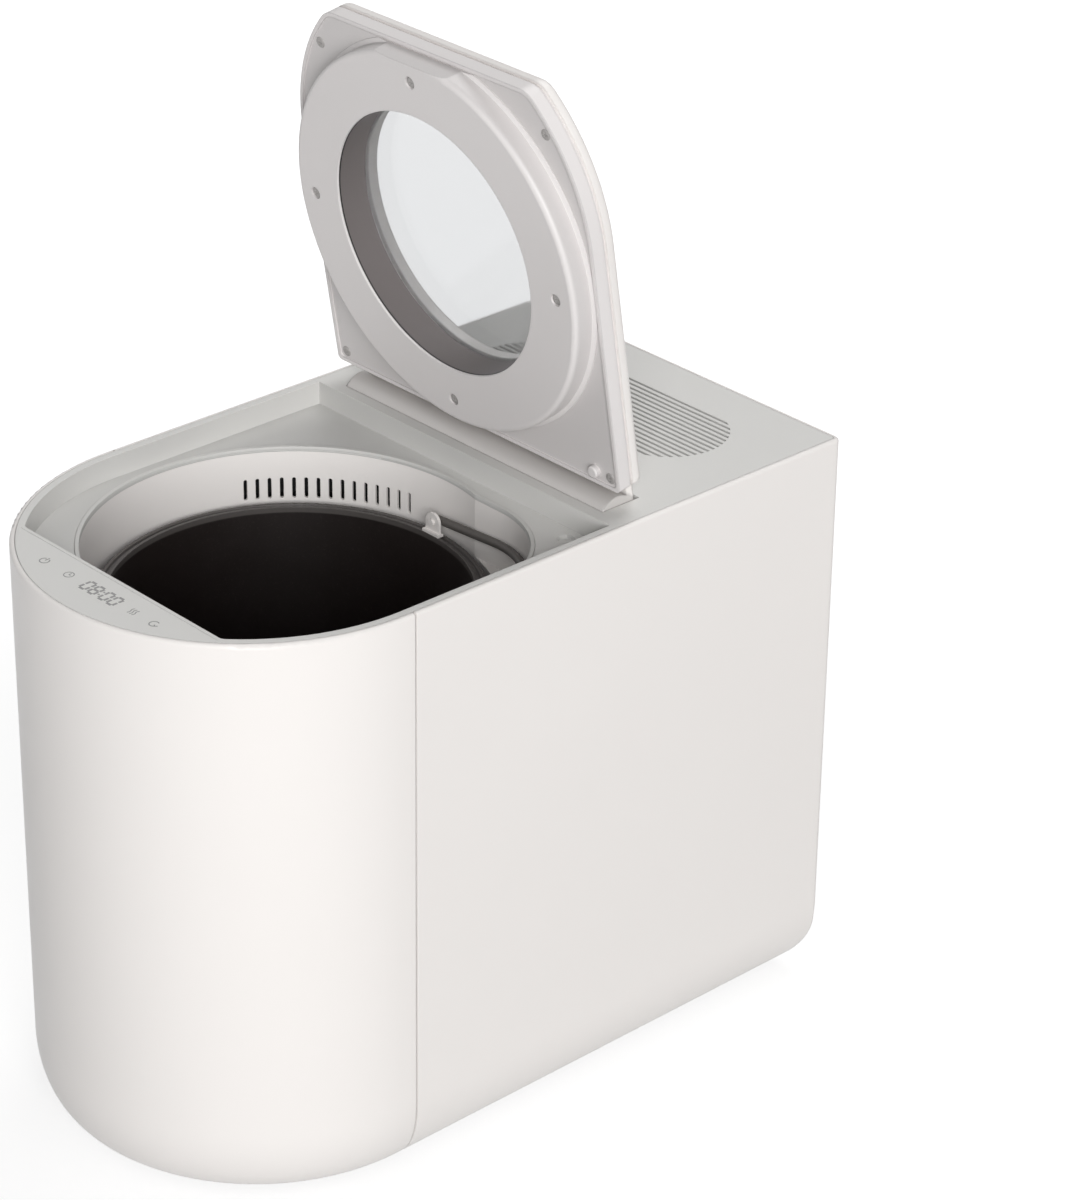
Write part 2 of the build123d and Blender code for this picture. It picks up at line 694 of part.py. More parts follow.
with BuildPart() as lid_plate:
    with BuildSketch(LID.offset(-plate_depth)) as plate_sketch:
        lid_plan(0)
        round_lid_corners(plate_sketch, 0)
    extrude(amount=plate_depth)
    with BuildSketch(LID.offset(cover_face)) as groove_sketch:
        lid_plan(groove_inset)
        round_lid_corners(groove_sketch, groove_inset)
    extrude(amount=groove_depth)
    with BuildSketch(LID.offset(plate_face)) as face_sketch:
        lid_plan(rim_band)
        round_lid_corners(face_sketch, rim_band)
    extrude(amount=rim_step, mode=Mode.SUBTRACT)
    with BuildSketch(LID.offset(cover_face)) as plate_hollow:
        lid_plan(plate_wall)
        round_lid_corners(plate_hollow, plate_wall)
    extrude(amount=plate_skin - cover_face, mode=Mode.SUBTRACT)
    with BuildSketch(LID.offset(plate_skin)):
        Circle(boss_root - part_gap)
        with Locations((0, boss_flat - boss_skin - body_length / 2)):
            Rectangle(body_length, body_length, mode=Mode.INTERSECT)
    extrude(amount=boss_skin, mode=Mode.SUBTRACT)
    with BuildSketch(LID.offset(plate_skin)):
        with Locations(*lid_screw_places):
            Circle(screw_shank + pin_gap)
    extrude(amount=boss_skin, mode=Mode.SUBTRACT)
lid_plate.part.label = "lid_plate"
export_step(lid_plate.part, "parts/lid_plate.step")

with BuildPart() as boss_hollow:
    with BuildSketch(LID_RADIAL):
        with BuildLine():
            Polyline(
                (tube_radius, cover_face),
                (tube_radius, boss_height - boss_skin),
                (boss_radius - boss_skin, boss_height - boss_skin),
                (boss_radius - boss_skin, cover_face),
                close=True,
            )
        make_face()
    revolve(axis=LID_AXIS)
    with BuildSketch(LID.offset(cover_back)):
        with Locations((0, boss_flat - boss_skin - body_length / 2)):
            Rectangle(body_length, body_length)
    extrude(amount=boss_height - cover_back, mode=Mode.INTERSECT)

with BuildPart() as lid_boss:
    with BuildSketch(LID_RADIAL):
        with BuildLine():
            Polyline(
                (tube_bore, glass_back),
                (tube_bore, boss_height - sleeve_cover),
                (window_radius, boss_height - sleeve_cover),
                (window_radius, boss_height),
                (boss_radius - boss_edge, boss_height),
            )
            RadiusArc(
                (boss_radius - boss_edge, boss_height),
                (boss_radius, boss_height - boss_edge),
                boss_edge,
            )
            Polyline(
                (boss_radius, boss_height - boss_edge),
                (boss_radius, boss_base_height),
                (boss_base, plate_face + boss_base_edge),
                (boss_base, plate_face),
                (boss_root - 2 * part_gap, plate_face),
                (boss_root - 2 * part_gap, glass_back),
                (tube_bore, glass_back),
            )
        make_face()
    revolve(axis=LID_AXIS)
    with BuildSketch(LID.offset(cover_back)):
        with Locations((0, boss_flat - body_length / 2)):
            Rectangle(body_length, body_length)
    extrude(amount=boss_height - cover_back, mode=Mode.INTERSECT)
    with BuildSketch(LID.offset(glass_back)):
        with Locations((0, boss_flat - boss_skin - part_gap + body_length / 2)):
            Rectangle(body_length, body_length)
    extrude(amount=plate_face - glass_back, mode=Mode.SUBTRACT)
    add(boss_hollow.part, mode=Mode.SUBTRACT)
    with BuildSketch(LID.offset(boss_height)):
        with PolarLocations(boss_screw_ring, 4):
            Circle(screw_head + part_gap)
    extrude(amount=-1.0, mode=Mode.SUBTRACT)
    with BuildSketch(LID.offset(boss_height)):
        with PolarLocations(boss_screw_ring, 4):
            Circle(screw_shank + pin_gap)
    extrude(amount=-boss_skin, mode=Mode.SUBTRACT)
lid_boss.part.label = "lid_boss"
export_step(lid_boss.part, "parts/lid_boss.step")

with BuildPart() as window_sleeve:
    with BuildSketch(LID.offset(glass_front)):
        Circle(sleeve_radius)
        Circle(window_radius, mode=Mode.SUBTRACT)
    extrude(amount=window_depth - sleeve_cover)
window_sleeve.part.label = "window_sleeve"
export_step(window_sleeve.part, "parts/window_sleeve.step")

with BuildPart() as window_glass:
    with BuildSketch(LID.offset(glass_back)):
        Circle(sleeve_radius)
    extrude(amount=glass_thickness)
window_glass.part.label = "window_glass"
export_step(window_glass.part, "parts/window_glass.step")

with BuildPart() as boss_screws:
    with BuildSketch(LID.offset(boss_height - 1.0)):
        with PolarLocations(boss_screw_ring, 4):
            Circle(screw_head)
    extrude(amount=0.8)
    with BuildSketch(LID.offset(boss_height - 1.0)):
        with PolarLocations(boss_screw_ring, 4):
            Circle(screw_shank)
    extrude(amount=-screw_length)
boss_screws.part.label = "boss_screws"
export_step(boss_screws.part, "parts/boss_screws.step")

with BuildPart() as lid_screws:
    with BuildSketch(LID.offset(plate_face)):
        with Locations(*lid_screw_places):
            Circle(screw_head)
    extrude(amount=0.8)
    with BuildSketch(LID.offset(plate_face)):
        with Locations(*lid_screw_places):
            Circle(screw_shank)
    extrude(amount=-screw_length)
lid_screws.part.label = "lid_screws"
export_step(lid_screws.part, "parts/lid_screws.step")

with BuildPart() as lid_magnet:
    with BuildSketch(LID.offset(plate_face)):
        with Locations((magnet_u, magnet_v)):
            Circle(magnet_radius)
    extrude(amount=magnet_reach - plate_face)
    chamfer(lid_magnet.faces().sort_by(LID_AXIS)[-1].edges(), 0.6)
lid_magnet.part.label = "lid_magnet"
export_step(lid_magnet.part, "parts/lid_magnet.step")

with BuildPart() as lid_sensor:
    with BuildSketch(Plane.XY.offset(ledge_bottom)):
        with Locations((magnet_u, chamber_y - magnet_v)):
            Rectangle(16, 12)
    extrude(amount=-5.0)
lid_sensor.part.label = "lid_sensor"
export_step(lid_sensor.part, "parts/lid_sensor.step")

with BuildPart() as hinge_pins:
    with BuildSketch(Plane.YZ.offset(roll_half_width - roll_end + 1)):
        with Locations((hinge_y, hinge_z)):
            Circle(pin_radius)
    extrude(amount=roll_end - 1 + running_gap + pin_boss)
    mirror(about=Plane.YZ)
hinge_pins.part.label = "hinge_pins"
export_step(hinge_pins.part, "parts/hinge_pins.step")

# ---------------------------------------------------------------- bucket, bail, paddle
bucket_floor = 2.4
bucket_corner = 12.0
lip_drop = 5.5
hub_bore = 9.0
hub_wall = 3.0
hub_height = 19.0
bushing_bore = 7.0
tube_bottom_gap = 1.2
hex_size = 8.0
hex_gap = 0.5
hex_reach = 11.0
blade_thickness = 5.0
blade_gap = 2.4
bail_pin_radius = 1.8
bracket_foot = 1.4
bracket_foot_width = 3.6

bucket_floor_top = bucket_bottom + bucket_floor
bucket_low_radius = bucket_inner_radius - bucket_taper

with BuildPart() as bucket:
    with BuildSketch(Plane.XZ.offset(-chamber_y)) as bucket_profile:
        with BuildLine():
            Polyline(
                (0, bucket_bottom),
                (bucket_low_radius + bucket_wall, bucket_bottom),
                (bucket_outer, rim_top - lip_drop + 2.5),
                (bucket_rim_radius - 1.4, rim_top - 3.0),
                (bucket_rim_radius - 1.4, rim_top - lip_drop),
                (bucket_rim_radius, rim_top - lip_drop),
                (bucket_rim_radius, rim_top - 1.0),
                (bucket_rim_radius - 0.6, rim_top - 0.4),
                (bucket_outer + 2.1, rim_top - 0.4),
                (bucket_outer + 1.6, rim_top - 1.6),
                (bucket_outer + 0.3, rim_top - 1.6),
                (bucket_outer - 0.3, rim_top),
                (bucket_inner_radius, rim_top),
                (bucket_low_radius, bucket_floor_top),
                (0, bucket_floor_top),
                close=True,
            )
        make_face()
        corners = bucket_profile.vertices()
        inner_corner = corners.sort_by_distance(Vector(bucket_low_radius, bucket_floor_top, 0))[0]
        outer_corner = corners.sort_by_distance(Vector(bucket_low_radius + bucket_wall, bucket_bottom, 0))[0]
        fillet(inner_corner, bucket_corner)
        fillet(outer_corner, bucket_corner + bucket_wall)
    revolve(axis=Axis((0, chamber_y, 0), (0, 0, 1)))
    with BuildSketch(Plane.XY.offset(bucket_bottom)):
        with Locations((0, chamber_y)):
            Circle(hub_bore + hub_wall)
    extrude(amount=hub_height)
    with BuildSketch(Plane.XY.offset(bucket_bottom)):
        with Locations((0, chamber_y)):
            Circle(hub_bore)
    extrude(amount=hub_height, mode=Mode.SUBTRACT)
bucket.part.label = "bucket"
export_step(bucket.part, "parts/bucket.step")

with BuildPart() as bail_brackets:
    with BuildSketch(Plane.XZ.offset(-(chamber_y + bracket_inner))):
        with Locations((0, bail_z)):
            Circle(bracket_half_width)
        with Locations((0, (bail_z + rim_top) / 2)):
            Rectangle(2 * bracket_half_width, bail_z - rim_top)
        with Locations((0, bail_z)):
            Circle(bail_pin_radius + pin_gap, mode=Mode.SUBTRACT)
    extrude(amount=-bracket_thickness)
    with BuildSketch(Plane.XY.offset(rim_top)):
        with Locations((0, chamber_y + bucket_outer)):
            Rectangle(2 * bracket_half_width + 2, bracket_foot_width)
    extrude(amount=bracket_foot)
    mirror(about=Plane.XZ.offset(-chamber_y))
bail_brackets.part.label = "bail_brackets"
export_step(bail_brackets.part, "parts/bail_brackets.step")

with BuildPart() as bucket_bushing:
    with BuildSketch(Plane.XY.offset(bucket_bottom)):
        with Locations((0, chamber_y)):
            Circle(hub_bore - pin_gap)
            Circle(bushing_bore + pin_gap, mode=Mode.SUBTRACT)
    extrude(amount=hub_height)
bucket_bushing.part.label = "bucket_bushing"
export_step(bucket_bushing.part, "parts/bucket_bushing.step")

BAIL = Plane(
    origin=(0, chamber_y, bail_z),
    x_dir=(cos(radians(bail_rise)), 0, sin(radians(bail_rise))),
    z_dir=(-sin(radians(bail_rise)), 0, cos(radians(bail_rise))),
)
with BuildPart() as bucket_handle:
    with BuildLine(BAIL):
        reach_y = bail_half_length - bail_corner
        centre_x = bail_reach - bail_corner
        Line((0, bail_half_length), (centre_x, bail_half_length))
        RadiusArc((centre_x, bail_half_length), (bail_reach, reach_y), bail_corner)
        Line((bail_reach, reach_y), (bail_reach, -reach_y))
        RadiusArc((bail_reach, -reach_y), (centre_x, -bail_half_length), bail_corner)
        Line((centre_x, -bail_half_length), (0, -bail_half_length))
    with BuildSketch(Plane(origin=(0, chamber_y + bail_half_length, bail_z), z_dir=BAIL.x_dir)):
        Circle(rod_radius)
    sweep()
    with Locations((0, chamber_y + bail_half_length, bail_z), (0, chamber_y - bail_half_length, bail_z)):
        Sphere(rod_radius)
    with BuildSketch(Plane.XZ.offset(-(chamber_y + pin_end))):
        with Locations((0, bail_z)):
            Circle(bail_pin_radius)
    extrude(amount=-(bail_half_length - pin_end))
    with BuildSketch(Plane.XZ.offset(-(chamber_y - pin_end))):
        with Locations((0, bail_z)):
            Circle(bail_pin_radius)
    extrude(amount=bail_half_length - pin_end)
bucket_handle.part.label = "bucket_handle"
export_step(bucket_handle.part, "parts/bucket_handle.step")

paddle_low = bucket_floor_top + blade_gap
paddle_reach = bucket_low_radius - blade_gap
hub_top = bucket_bottom + hub_height
socket_top = bucket_bottom + hex_reach + 2 * running_gap
paddle_hub_radius = hub_bore + hub_wall
paddle_hub_height = 16.0

with BuildPart() as stirring_paddle:
    with BuildSketch(Plane.XY.offset(bucket_bottom + tube_bottom_gap)):
        with Locations((0, chamber_y)):
            Circle(bushing_bore)
    extrude(amount=hub_top + running_gap - bucket_bottom - tube_bottom_gap)
    with BuildSketch(Plane.XY.offset(hub_top + running_gap)):
        with Locations((0, chamber_y)):
            Circle(paddle_hub_radius)
    extrude(amount=paddle_hub_height)
    fillet(stirring_paddle.faces().sort_by(Axis.Z)[-1].edges(), 4.0)
    with BuildSketch(Plane.XZ.offset(-(chamber_y + blade_thickness / 2))):
        with BuildLine():
            Polyline(
                (8.0, hub_top + running_gap + 1),
                (paddle_hub_radius + 3, hub_top + running_gap + 1),
                (paddle_hub_radius + 8, paddle_low),
                (paddle_reach - bucket_corner + blade_gap, paddle_low),
                (paddle_reach - 1.0, paddle_low + bucket_corner - 2.0),
                (paddle_reach, paddle_low + 52),
                (paddle_reach - 7, paddle_low + 52),
                (paddle_reach - 16, paddle_low + 16),
                (paddle_hub_radius + 16, paddle_low + 16),
                (8.0, hub_top + paddle_hub_height - 3),
                close=True,
            )
        make_face()
        with BuildLine():
            Polyline(
                (-8.0, hub_top + running_gap + 1),
                (-(paddle_hub_radius + 3), hub_top + running_gap + 1),
                (-(paddle_hub_radius + 8), paddle_low),
                (-(paddle_reach - bucket_corner + blade_gap), paddle_low),
                (-(paddle_reach - bucket_corner + blade_gap), paddle_low + 22),
                (-(paddle_hub_radius + 16), paddle_low + 18),
                (-8.0, hub_top + paddle_hub_height - 3),
                close=True,
            )
        make_face()
    extrude(amount=blade_thickness)
    with BuildSketch(Plane.XY.offset(bucket_bottom + tube_bottom_gap)):
        with Locations((0, chamber_y)):
            RegularPolygon((hex_size + hex_gap) / 2, 6, major_radius=False)
    extrude(amount=socket_top - bucket_bottom - tube_bottom_gap, mode=Mode.SUBTRACT)
stirring_paddle.part.label = "stirring_paddle"
export_step(stirring_paddle.part, "parts/stirring_paddle.step")

# ---------------------------------------------------------------- heating plate, heater, shaft seal
plug_gap = 12.0
heater_inner = 46.0
heater_outer = 70.0
heater_thickness = 4.0

with BuildPart() as heating_plate:
    with BuildSketch(Plane.XY.offset(liner_floor_top)):
        with Locations((0, chamber_y)):
            Circle(plate_radius)
            Circle(plug_gap, mode=Mode.SUBTRACT)
    extrude(amount=plate_thickness)
    chamfer(heating_plate.faces().sort_by(Axis.Z)[-1].edges(), 0.8)
heating_plate.part.label = "heating_plate"
export_step(heating_plate.part, "parts/heating_plate.step")

with BuildPart() as heater_element:
    with BuildSketch(Plane.XY.offset(liner_floor - heater_thickness)):
        with Locations((0, chamber_y)):
            Circle(heater_outer)
            Circle(heater_inner, mode=Mode.SUBTRACT)
    extrude(amount=heater_thickness)
heater_element.part.label = "heater_element"
export_step(heater_element.part, "parts/heater_element.step")

with BuildPart() as thermostat:
    with BuildSketch(Plane.XY.offset(liner_floor)):
        with Locations((-30.0, chamber_y)):
            Circle(8.0)
    extrude(amount=-9.0)
    with BuildSketch(Plane.XY.offset(liner_floor - 9.0)):
        with Locations((-36.0, chamber_y), (-24.0, chamber_y)):
            Rectangle(1.0, 5.0)
    extrude(amount=-6.0)
thermostat.part.label = "thermostat"
export_step(thermostat.part, "parts/thermostat.step")

with BuildPart() as shaft_seal:
    with BuildSketch(Plane.XY.offset(liner_floor - 2.0)):
        with Locations((0, chamber_y)):
            Circle(shaft_seal_radius)
            Circle(shaft_radius + pin_gap, mode=Mode.SUBTRACT)
    extrude(amount=liner_wall + 4.0)
shaft_seal.part.label = "shaft_seal"
export_step(shaft_seal.part, "parts/shaft_seal.step")

# ---------------------------------------------------------------- gearbox
output_module = 1.25
motor_module = 1.0
wheel_teeth = 54
pinion_teeth = 18
pinion_turn = -pi / 2 + pi / pinion_teeth
pressure_angle = radians(20)
backlash = 0.2
output_width = 9.0
lay_width = 6.0
gear_clear = 3.0  # gap between gears and the gearbox's walls
box_wall = 2.4
box_corner = 14.0
bearing_wall = 3.0
lay_shaft_radius = 4.0
motor_shaft_radius = 2.5
motor_radius = 19.0
motor_height = 36.0

output_distance = output_module * (wheel_teeth + pinion_teeth) / 2
motor_distance = motor_module * (wheel_teeth + pinion_teeth) / 2
output_radius = output_module * (wheel_teeth / 2 + 1)
lay_y = chamber_y + output_distance
motor_y = lay_y + motor_distance
box_bottom = base_top
box_floor = box_bottom + box_wall
output_z = box_floor + 7.0
lay_z = output_z + output_width + 2 * running_gap + 1.5
box_rim = lay_z + lay_width + gear_clear
box_top = box_rim + box_wall
box_half_width = output_radius + gear_clear + box_wall
box_front = chamber_y - box_half_width
box_back = motor_y + motor_module * (pinion_teeth / 2 + 1) + gear_clear + box_wall + 2


def gear_points(teeth, module, turn, centre_y):
    """Outline of a spur gear with involute flanks; turn is the angle of one tooth's middle."""
    pitch = teeth * module / 2
    base = pitch * cos(pressure_angle)
    root = pitch - 1.25 * module
    tip = pitch + module
    flank = max(base, root)
    inv_pitch = tan(pressure_angle) - pressure_angle
    half_tooth = pi / (2 * teeth) - backlash / (2 * pitch)
    side = []
    for r in (root, flank + 0.02, (flank + pitch) / 2, (pitch + tip) / 2, tip):
        roll = acos(min(1.0, base / max(r, base)))
        side.append((r, half_tooth + inv_pitch - (tan(roll) - roll)))
    points = []
    for i in range(teeth):
        middle = turn + 2 * pi * i / teeth
        for r, a in side:
            points.append((r * cos(middle - a), centre_y + r * sin(middle - a)))
        for r, a in reversed(side):
            points.append((r * cos(middle + a), centre_y + r * sin(middle + a)))
    return points


with BuildPart() as gearbox_base:
    with BuildSketch(Plane.XY.offset(box_bottom)):
        with Locations((0, (box_front + box_back) / 2)):
            RectangleRounded(2 * box_half_width, box_back - box_front, box_corner)
    extrude(amount=box_rim - box_bottom)
    with BuildSketch(Plane.XY.offset(box_floor)):
        with Locations((0, (box_front + box_back) / 2)):
            RectangleRounded(
                2 * (box_half_width - box_wall),
                box_back - box_front - 2 * box_wall,
                box_corner - box_wall,
            )
    extrude(amount=box_rim - box_floor, mode=Mode.SUBTRACT)
    with BuildSketch(Plane.XY.offset(box_floor)):
        with Locations((0, chamber_y)):
            Circle(shaft_radius + 2 * bearing_wall)
        with Locations((0, lay_y)):
            Circle(lay_shaft_radius + bearing_wall)
    extrude(amount=output_z - 1.0 - box_floor)
    with BuildSketch(Plane.XY.offset(box_floor)):
        with Locations((0, chamber_y)):
            Circle(shaft_radius + bearing_wall)
        with Locations((0, lay_y)):
            Circle(lay_shaft_radius + pin_gap)
    extrude(amount=output_z - 1.0 - box_floor, mode=Mode.SUBTRACT)
gearbox_base.part.label = "gearbox_base"
export_step(gearbox_base.part, "parts/gearbox_base.step")

with BuildPart() as gearbox_cover:
    with BuildSketch(Plane.XY.offset(box_rim)):
        with Locations((0, (box_front + box_back) / 2)):
            RectangleRounded(2 * box_half_width, box_back - box_front, box_corner)
    extrude(amount=box_wall)
    with BuildSketch(Plane.XY.offset(box_rim)):
        with Locations((0, chamber_y)):
            Circle(shaft_radius + 2 * bearing_wall)
        with Locations((0, lay_y)):
            Circle(lay_shaft_radius + bearing_wall)
    extrude(amount=box_wall + 5.0)
    with BuildSketch(Plane.XY.offset(box_rim)):
        with Locations((0, chamber_y)):
            Circle(shaft_radius + bearing_wall)
        with Locations((0, lay_y)):
            Circle(lay_shaft_radius + pin_gap)
        with Locations((0, motor_y)):
            Circle(motor_module * (pinion_teeth / 2 + 1) + running_gap)
    extrude(amount=box_wall + 5.0, mode=Mode.SUBTRACT)
gearbox_cover.part.label = "gearbox_cover"
export_step(gearbox_cover.part, "parts/gearbox_cover.step")

with BuildPart() as shaft_bushes:
    with BuildSketch(Plane.XY.offset(box_floor)):
        with Locations((0, chamber_y)):
            Circle(shaft_radius + bearing_wall - pin_gap)
            Circle(shaft_radius + pin_gap, mode=Mode.SUBTRACT)
    extrude(amount=output_z - 1.0 - box_floor)
    with BuildSketch(Plane.XY.offset(box_rim)):
        with Locations((0, chamber_y)):
            Circle(shaft_radius + bearing_wall - pin_gap)
            Circle(shaft_radius + pin_gap, mode=Mode.SUBTRACT)
    extrude(amount=box_wall + 5.0)
shaft_bushes.part.label = "shaft_bushes"
export_step(shaft_bushes.part, "parts/shaft_bushes.step")

with BuildPart() as gearbox_screws:
    screw_x = box_half_width - 10.0
    screw_low = box_front + 10.0
    screw_high = box_back - 10.0
    corner_places = [(x, y) for x in (-screw_x, screw_x) for y in (screw_low, screw_high)]
    with BuildSketch(Plane.XY.offset(box_top)):
        with Locations(*corner_places):
            Circle(screw_head)
    extrude(amount=2.0)
gearbox_screws.part.label = "gearbox_screws"
export_step(gearbox_screws.part, "parts/gearbox_screws.step")

with BuildPart() as output_gear:
    with BuildSketch(Plane.XY.offset(output_z)):
        with BuildLine():
            Polyline(*gear_points(wheel_teeth, output_module, pi / 2, chamber_y), close=True)
        make_face()
        with Locations((0, chamber_y)):
            Circle(shaft_radius + pin_gap, mode=Mode.SUBTRACT)
    extrude(amount=output_width)
output_gear.part.label = "output_gear"
export_step(output_gear.part, "parts/output_gear.step")

with BuildPart() as output_shaft:
    with BuildSketch(Plane.XY.offset(box_floor + seat_gap)):
        with Locations((0, chamber_y)):
            Circle(shaft_radius)
    extrude(amount=bucket_bottom - box_floor - 2 * seat_gap)
    with BuildSketch(Plane.XY.offset(bucket_bottom - seat_gap)):
        with Locations((0, chamber_y)):
            RegularPolygon(hex_size / 2, 6, major_radius=False)
    extrude(amount=hex_reach)
output_shaft.part.label = "output_shaft"
export_step(output_shaft.part, "parts/output_shaft.step")

with BuildPart() as layshaft:
    with BuildSketch(Plane.XY.offset(box_floor + seat_gap)):
        with Locations((0, lay_y)):
            Circle(lay_shaft_radius)
    extrude(amount=box_top + 4.0 - box_floor)
    with BuildSketch(Plane.XY.offset(output_z - 0.5)):
        with BuildLine():
            Polyline(*gear_points(pinion_teeth, output_module, pinion_turn, lay_y), close=True)
        make_face()
    extrude(amount=output_width + 1.0)
layshaft.part.label = "layshaft"
export_step(layshaft.part, "parts/layshaft.step")

with BuildPart() as lay_gear:
    with BuildSketch(Plane.XY.offset(lay_z)):
        with BuildLine():
            Polyline(*gear_points(wheel_teeth, motor_module, pi / 2, lay_y), close=True)
        make_face()
        with Locations((0, lay_y)):
            Circle(lay_shaft_radius + pin_gap, mode=Mode.SUBTRACT)
    extrude(amount=lay_width)
lay_gear.part.label = "lay_gear"
export_step(lay_gear.part, "parts/lay_gear.step")

with BuildPart() as motor_pinion:
    with BuildSketch(Plane.XY.offset(lay_z - 0.5)):
        with BuildLine():
            Polyline(*gear_points(pinion_teeth, motor_module, pinion_turn, motor_y), close=True)
        make_face()
    extrude(amount=lay_width + 1.0)
    with BuildSketch(Plane.XY.offset(lay_z)):
        with Locations((0, motor_y)):
            Circle(motor_shaft_radius)
    extrude(amount=box_top + 14.0 - lay_z)
motor_pinion.part.label = "motor_pinion"
export_step(motor_pinion.part, "parts/motor_pinion.step")

with BuildPart() as motor:
    with BuildSketch(Plane.XY.offset(box_top)):
        with Locations((0, motor_y)):
            Circle(motor_radius)
    extrude(amount=motor_height)
    fillet(motor.faces().sort_by(Axis.Z)[-1].edges(), 3.0)
    with BuildSketch(Plane.XY.offset(box_top)):
        with Locations((0, motor_y)):
            Circle(motor_shaft_radius + pin_gap)
    extrude(amount=15.0, mode=Mode.SUBTRACT)
motor.part.label = "motor"
export_step(motor.part, "parts/motor.step")

# ---------------------------------------------------------------- exhaust: duct, fan, air box, filter
duct_wall = 2.0
stack_length = 2 * (vent_half_length + vent_radius) + 2
stack_margin = 2.0  # between the filter stack and the walls before and behind it
fan_size = 70.0
fan_thickness = 25.0
fan_rim = 3.0
fan_tip_gap = 1.2
fan_hub = 15.0
filter_height = 82.0
air_box_height = 50.0
hood_depth = 12.0
hood_height = 22.0
riser_side_gap = 3.4
riser_width = 47.0
riser_depth = 48.0
riser_overlap = 12.5  # riser's front ahead of the chamber's rear
riser_left = -(nose_radius - wall - riser_side_gap)
riser_right = riser_left + riser_width
riser_front = chamber_y + liner_radius - riser_overlap
riser_back = riser_front + riser_depth
stack_front = hinge_y + trough_back + trough_wall + stack_margin
stack_back = back_y - wall - part_gap - skirt_thickness - stack_margin
stack_width = stack_back - stack_front
stack_y = (stack_front + stack_back) / 2
fan_bore = fan_size / 2 - fan_rim
fan_radius = fan_bore - fan_tip_gap
plenum_front = chamber_y + liner_radius + liner_wall + 5

filter_bottom = deck_bottom - filter_height
air_bottom = filter_bottom - air_box_height
fan_bottom = air_bottom - fan_thickness
plenum_height = 32.0
plenum_bottom = fan_bottom - plenum_height
hood_top = body_top - grille_drop + hood_height / 2 + 1
hood_bottom = hood_top - hood_height

hood_half_angle = grille_step * grille_count / 2 + 1.5
hood_end_angle = degrees(duct_wall / (liner_radius + liner_wall + hood_depth))


def sector_points(half_angle):
    """Corners of a wedge from the chamber's axis that covers the grille."""
    reach = 2 * liner_radius
    turns = [radians(grille_middle + turn) for turn in (-half_angle, 0, half_angle)]
    return [(0, chamber_y)] + [(reach * cos(a), chamber_y + reach * sin(a)) for a in turns]


with BuildPart() as duct_outer:
    with BuildSketch(Plane.XY.offset(hood_bottom)):
        with Locations((0, chamber_y)):
            Circle(liner_radius + liner_wall + hood_depth)
            Circle(liner_radius + liner_wall + part_gap, mode=Mode.SUBTRACT)
        with BuildLine():
            Polyline(*sector_points(hood_half_angle), close=True)
        make_face(mode=Mode.INTERSECT)
    extrude(amount=hood_height)
    with BuildSketch(Plane.XY.offset(plenum_bottom)):
        with Locations(((riser_left + riser_right) / 2, (riser_front + riser_back) / 2)):
            Rectangle(riser_right - riser_left, riser_back - riser_front)
    extrude(amount=hood_top - plenum_bottom)
    with BuildSketch(Plane.XY.offset(plenum_bottom)):
        with Locations(((riser_left + fan_size / 2) / 2, (plenum_front + stack_y + fan_size / 2) / 2)):
            Rectangle(fan_size / 2 - riser_left, stack_y + fan_size / 2 - plenum_front)
    extrude(amount=plenum_height)

with BuildPart() as exhaust_duct:
    add(duct_outer.part)
    with BuildSketch(Plane.XY.offset(hood_bottom + duct_wall)):
        with Locations((0, chamber_y)):
            Circle(liner_radius + liner_wall + hood_depth - duct_wall)
            Circle(liner_radius + liner_wall + part_gap, mode=Mode.SUBTRACT)
        with BuildLine():
            Polyline(*sector_points(hood_half_angle - hood_end_angle), close=True)
        make_face(mode=Mode.INTERSECT)
    extrude(amount=hood_height - 2 * duct_wall, mode=Mode.SUBTRACT)
    with BuildSketch(Plane.XY.offset(plenum_bottom + duct_wall)):
        with Locations(((riser_left + riser_right) / 2, (riser_front + riser_back) / 2)):
            Rectangle(riser_right - riser_left - 2 * duct_wall, riser_back - riser_front - 2 * duct_wall)
    extrude(amount=hood_top - plenum_bottom - 2 * duct_wall, mode=Mode.SUBTRACT)
    with BuildSketch(Plane.XY.offset(plenum_bottom + duct_wall)):
        with Locations(((riser_left + fan_size / 2) / 2, (plenum_front + stack_y + fan_size / 2) / 2)):
            Rectangle(
                fan_size / 2 - riser_left - 2 * duct_wall,
                stack_y + fan_size / 2 - plenum_front - 2 * duct_wall,
            )
    extrude(amount=plenum_height - 2 * duct_wall, mode=Mode.SUBTRACT)
    with BuildSketch(Plane.XY.offset(fan_bottom - duct_wall)):
        with Locations((0, stack_y)):
            Circle(fan_bore)
    extrude(amount=duct_wall, mode=Mode.SUBTRACT)
exhaust_duct.part.label = "exhaust_duct"
export_step(exhaust_duct.part, "parts/exhaust_duct.step")

with BuildPart() as fan_housing:
    with BuildSketch(Plane.XY.offset(fan_bottom)):
        with Locations((0, stack_y)):
            RectangleRounded(fan_size, fan_size, 5)
    extrude(amount=fan_thickness)
    with BuildSketch(Plane.XY.offset(fan_bottom)):
        with Locations((0, stack_y)):
            Circle(fan_bore)
    extrude(amount=fan_thickness, mode=Mode.SUBTRACT)
    with BuildSketch(Plane.XY.offset(fan_bottom)):
        with Locations((0, stack_y)):
            Circle(fan_hub)
            Rectangle(2 * fan_bore + 2, 4)
            Rectangle(4, 2 * fan_bore + 2)
    extrude(amount=3.0)
    with BuildSketch(Plane.XY.offset(fan_bottom)):
        with Locations((0, stack_y)):
            Circle(motor_shaft_radius)
    extrude(amount=fan_thickness - 5.0)
fan_housing.part.label = "fan_housing"
export_step(fan_housing.part, "parts/fan_housing.step")

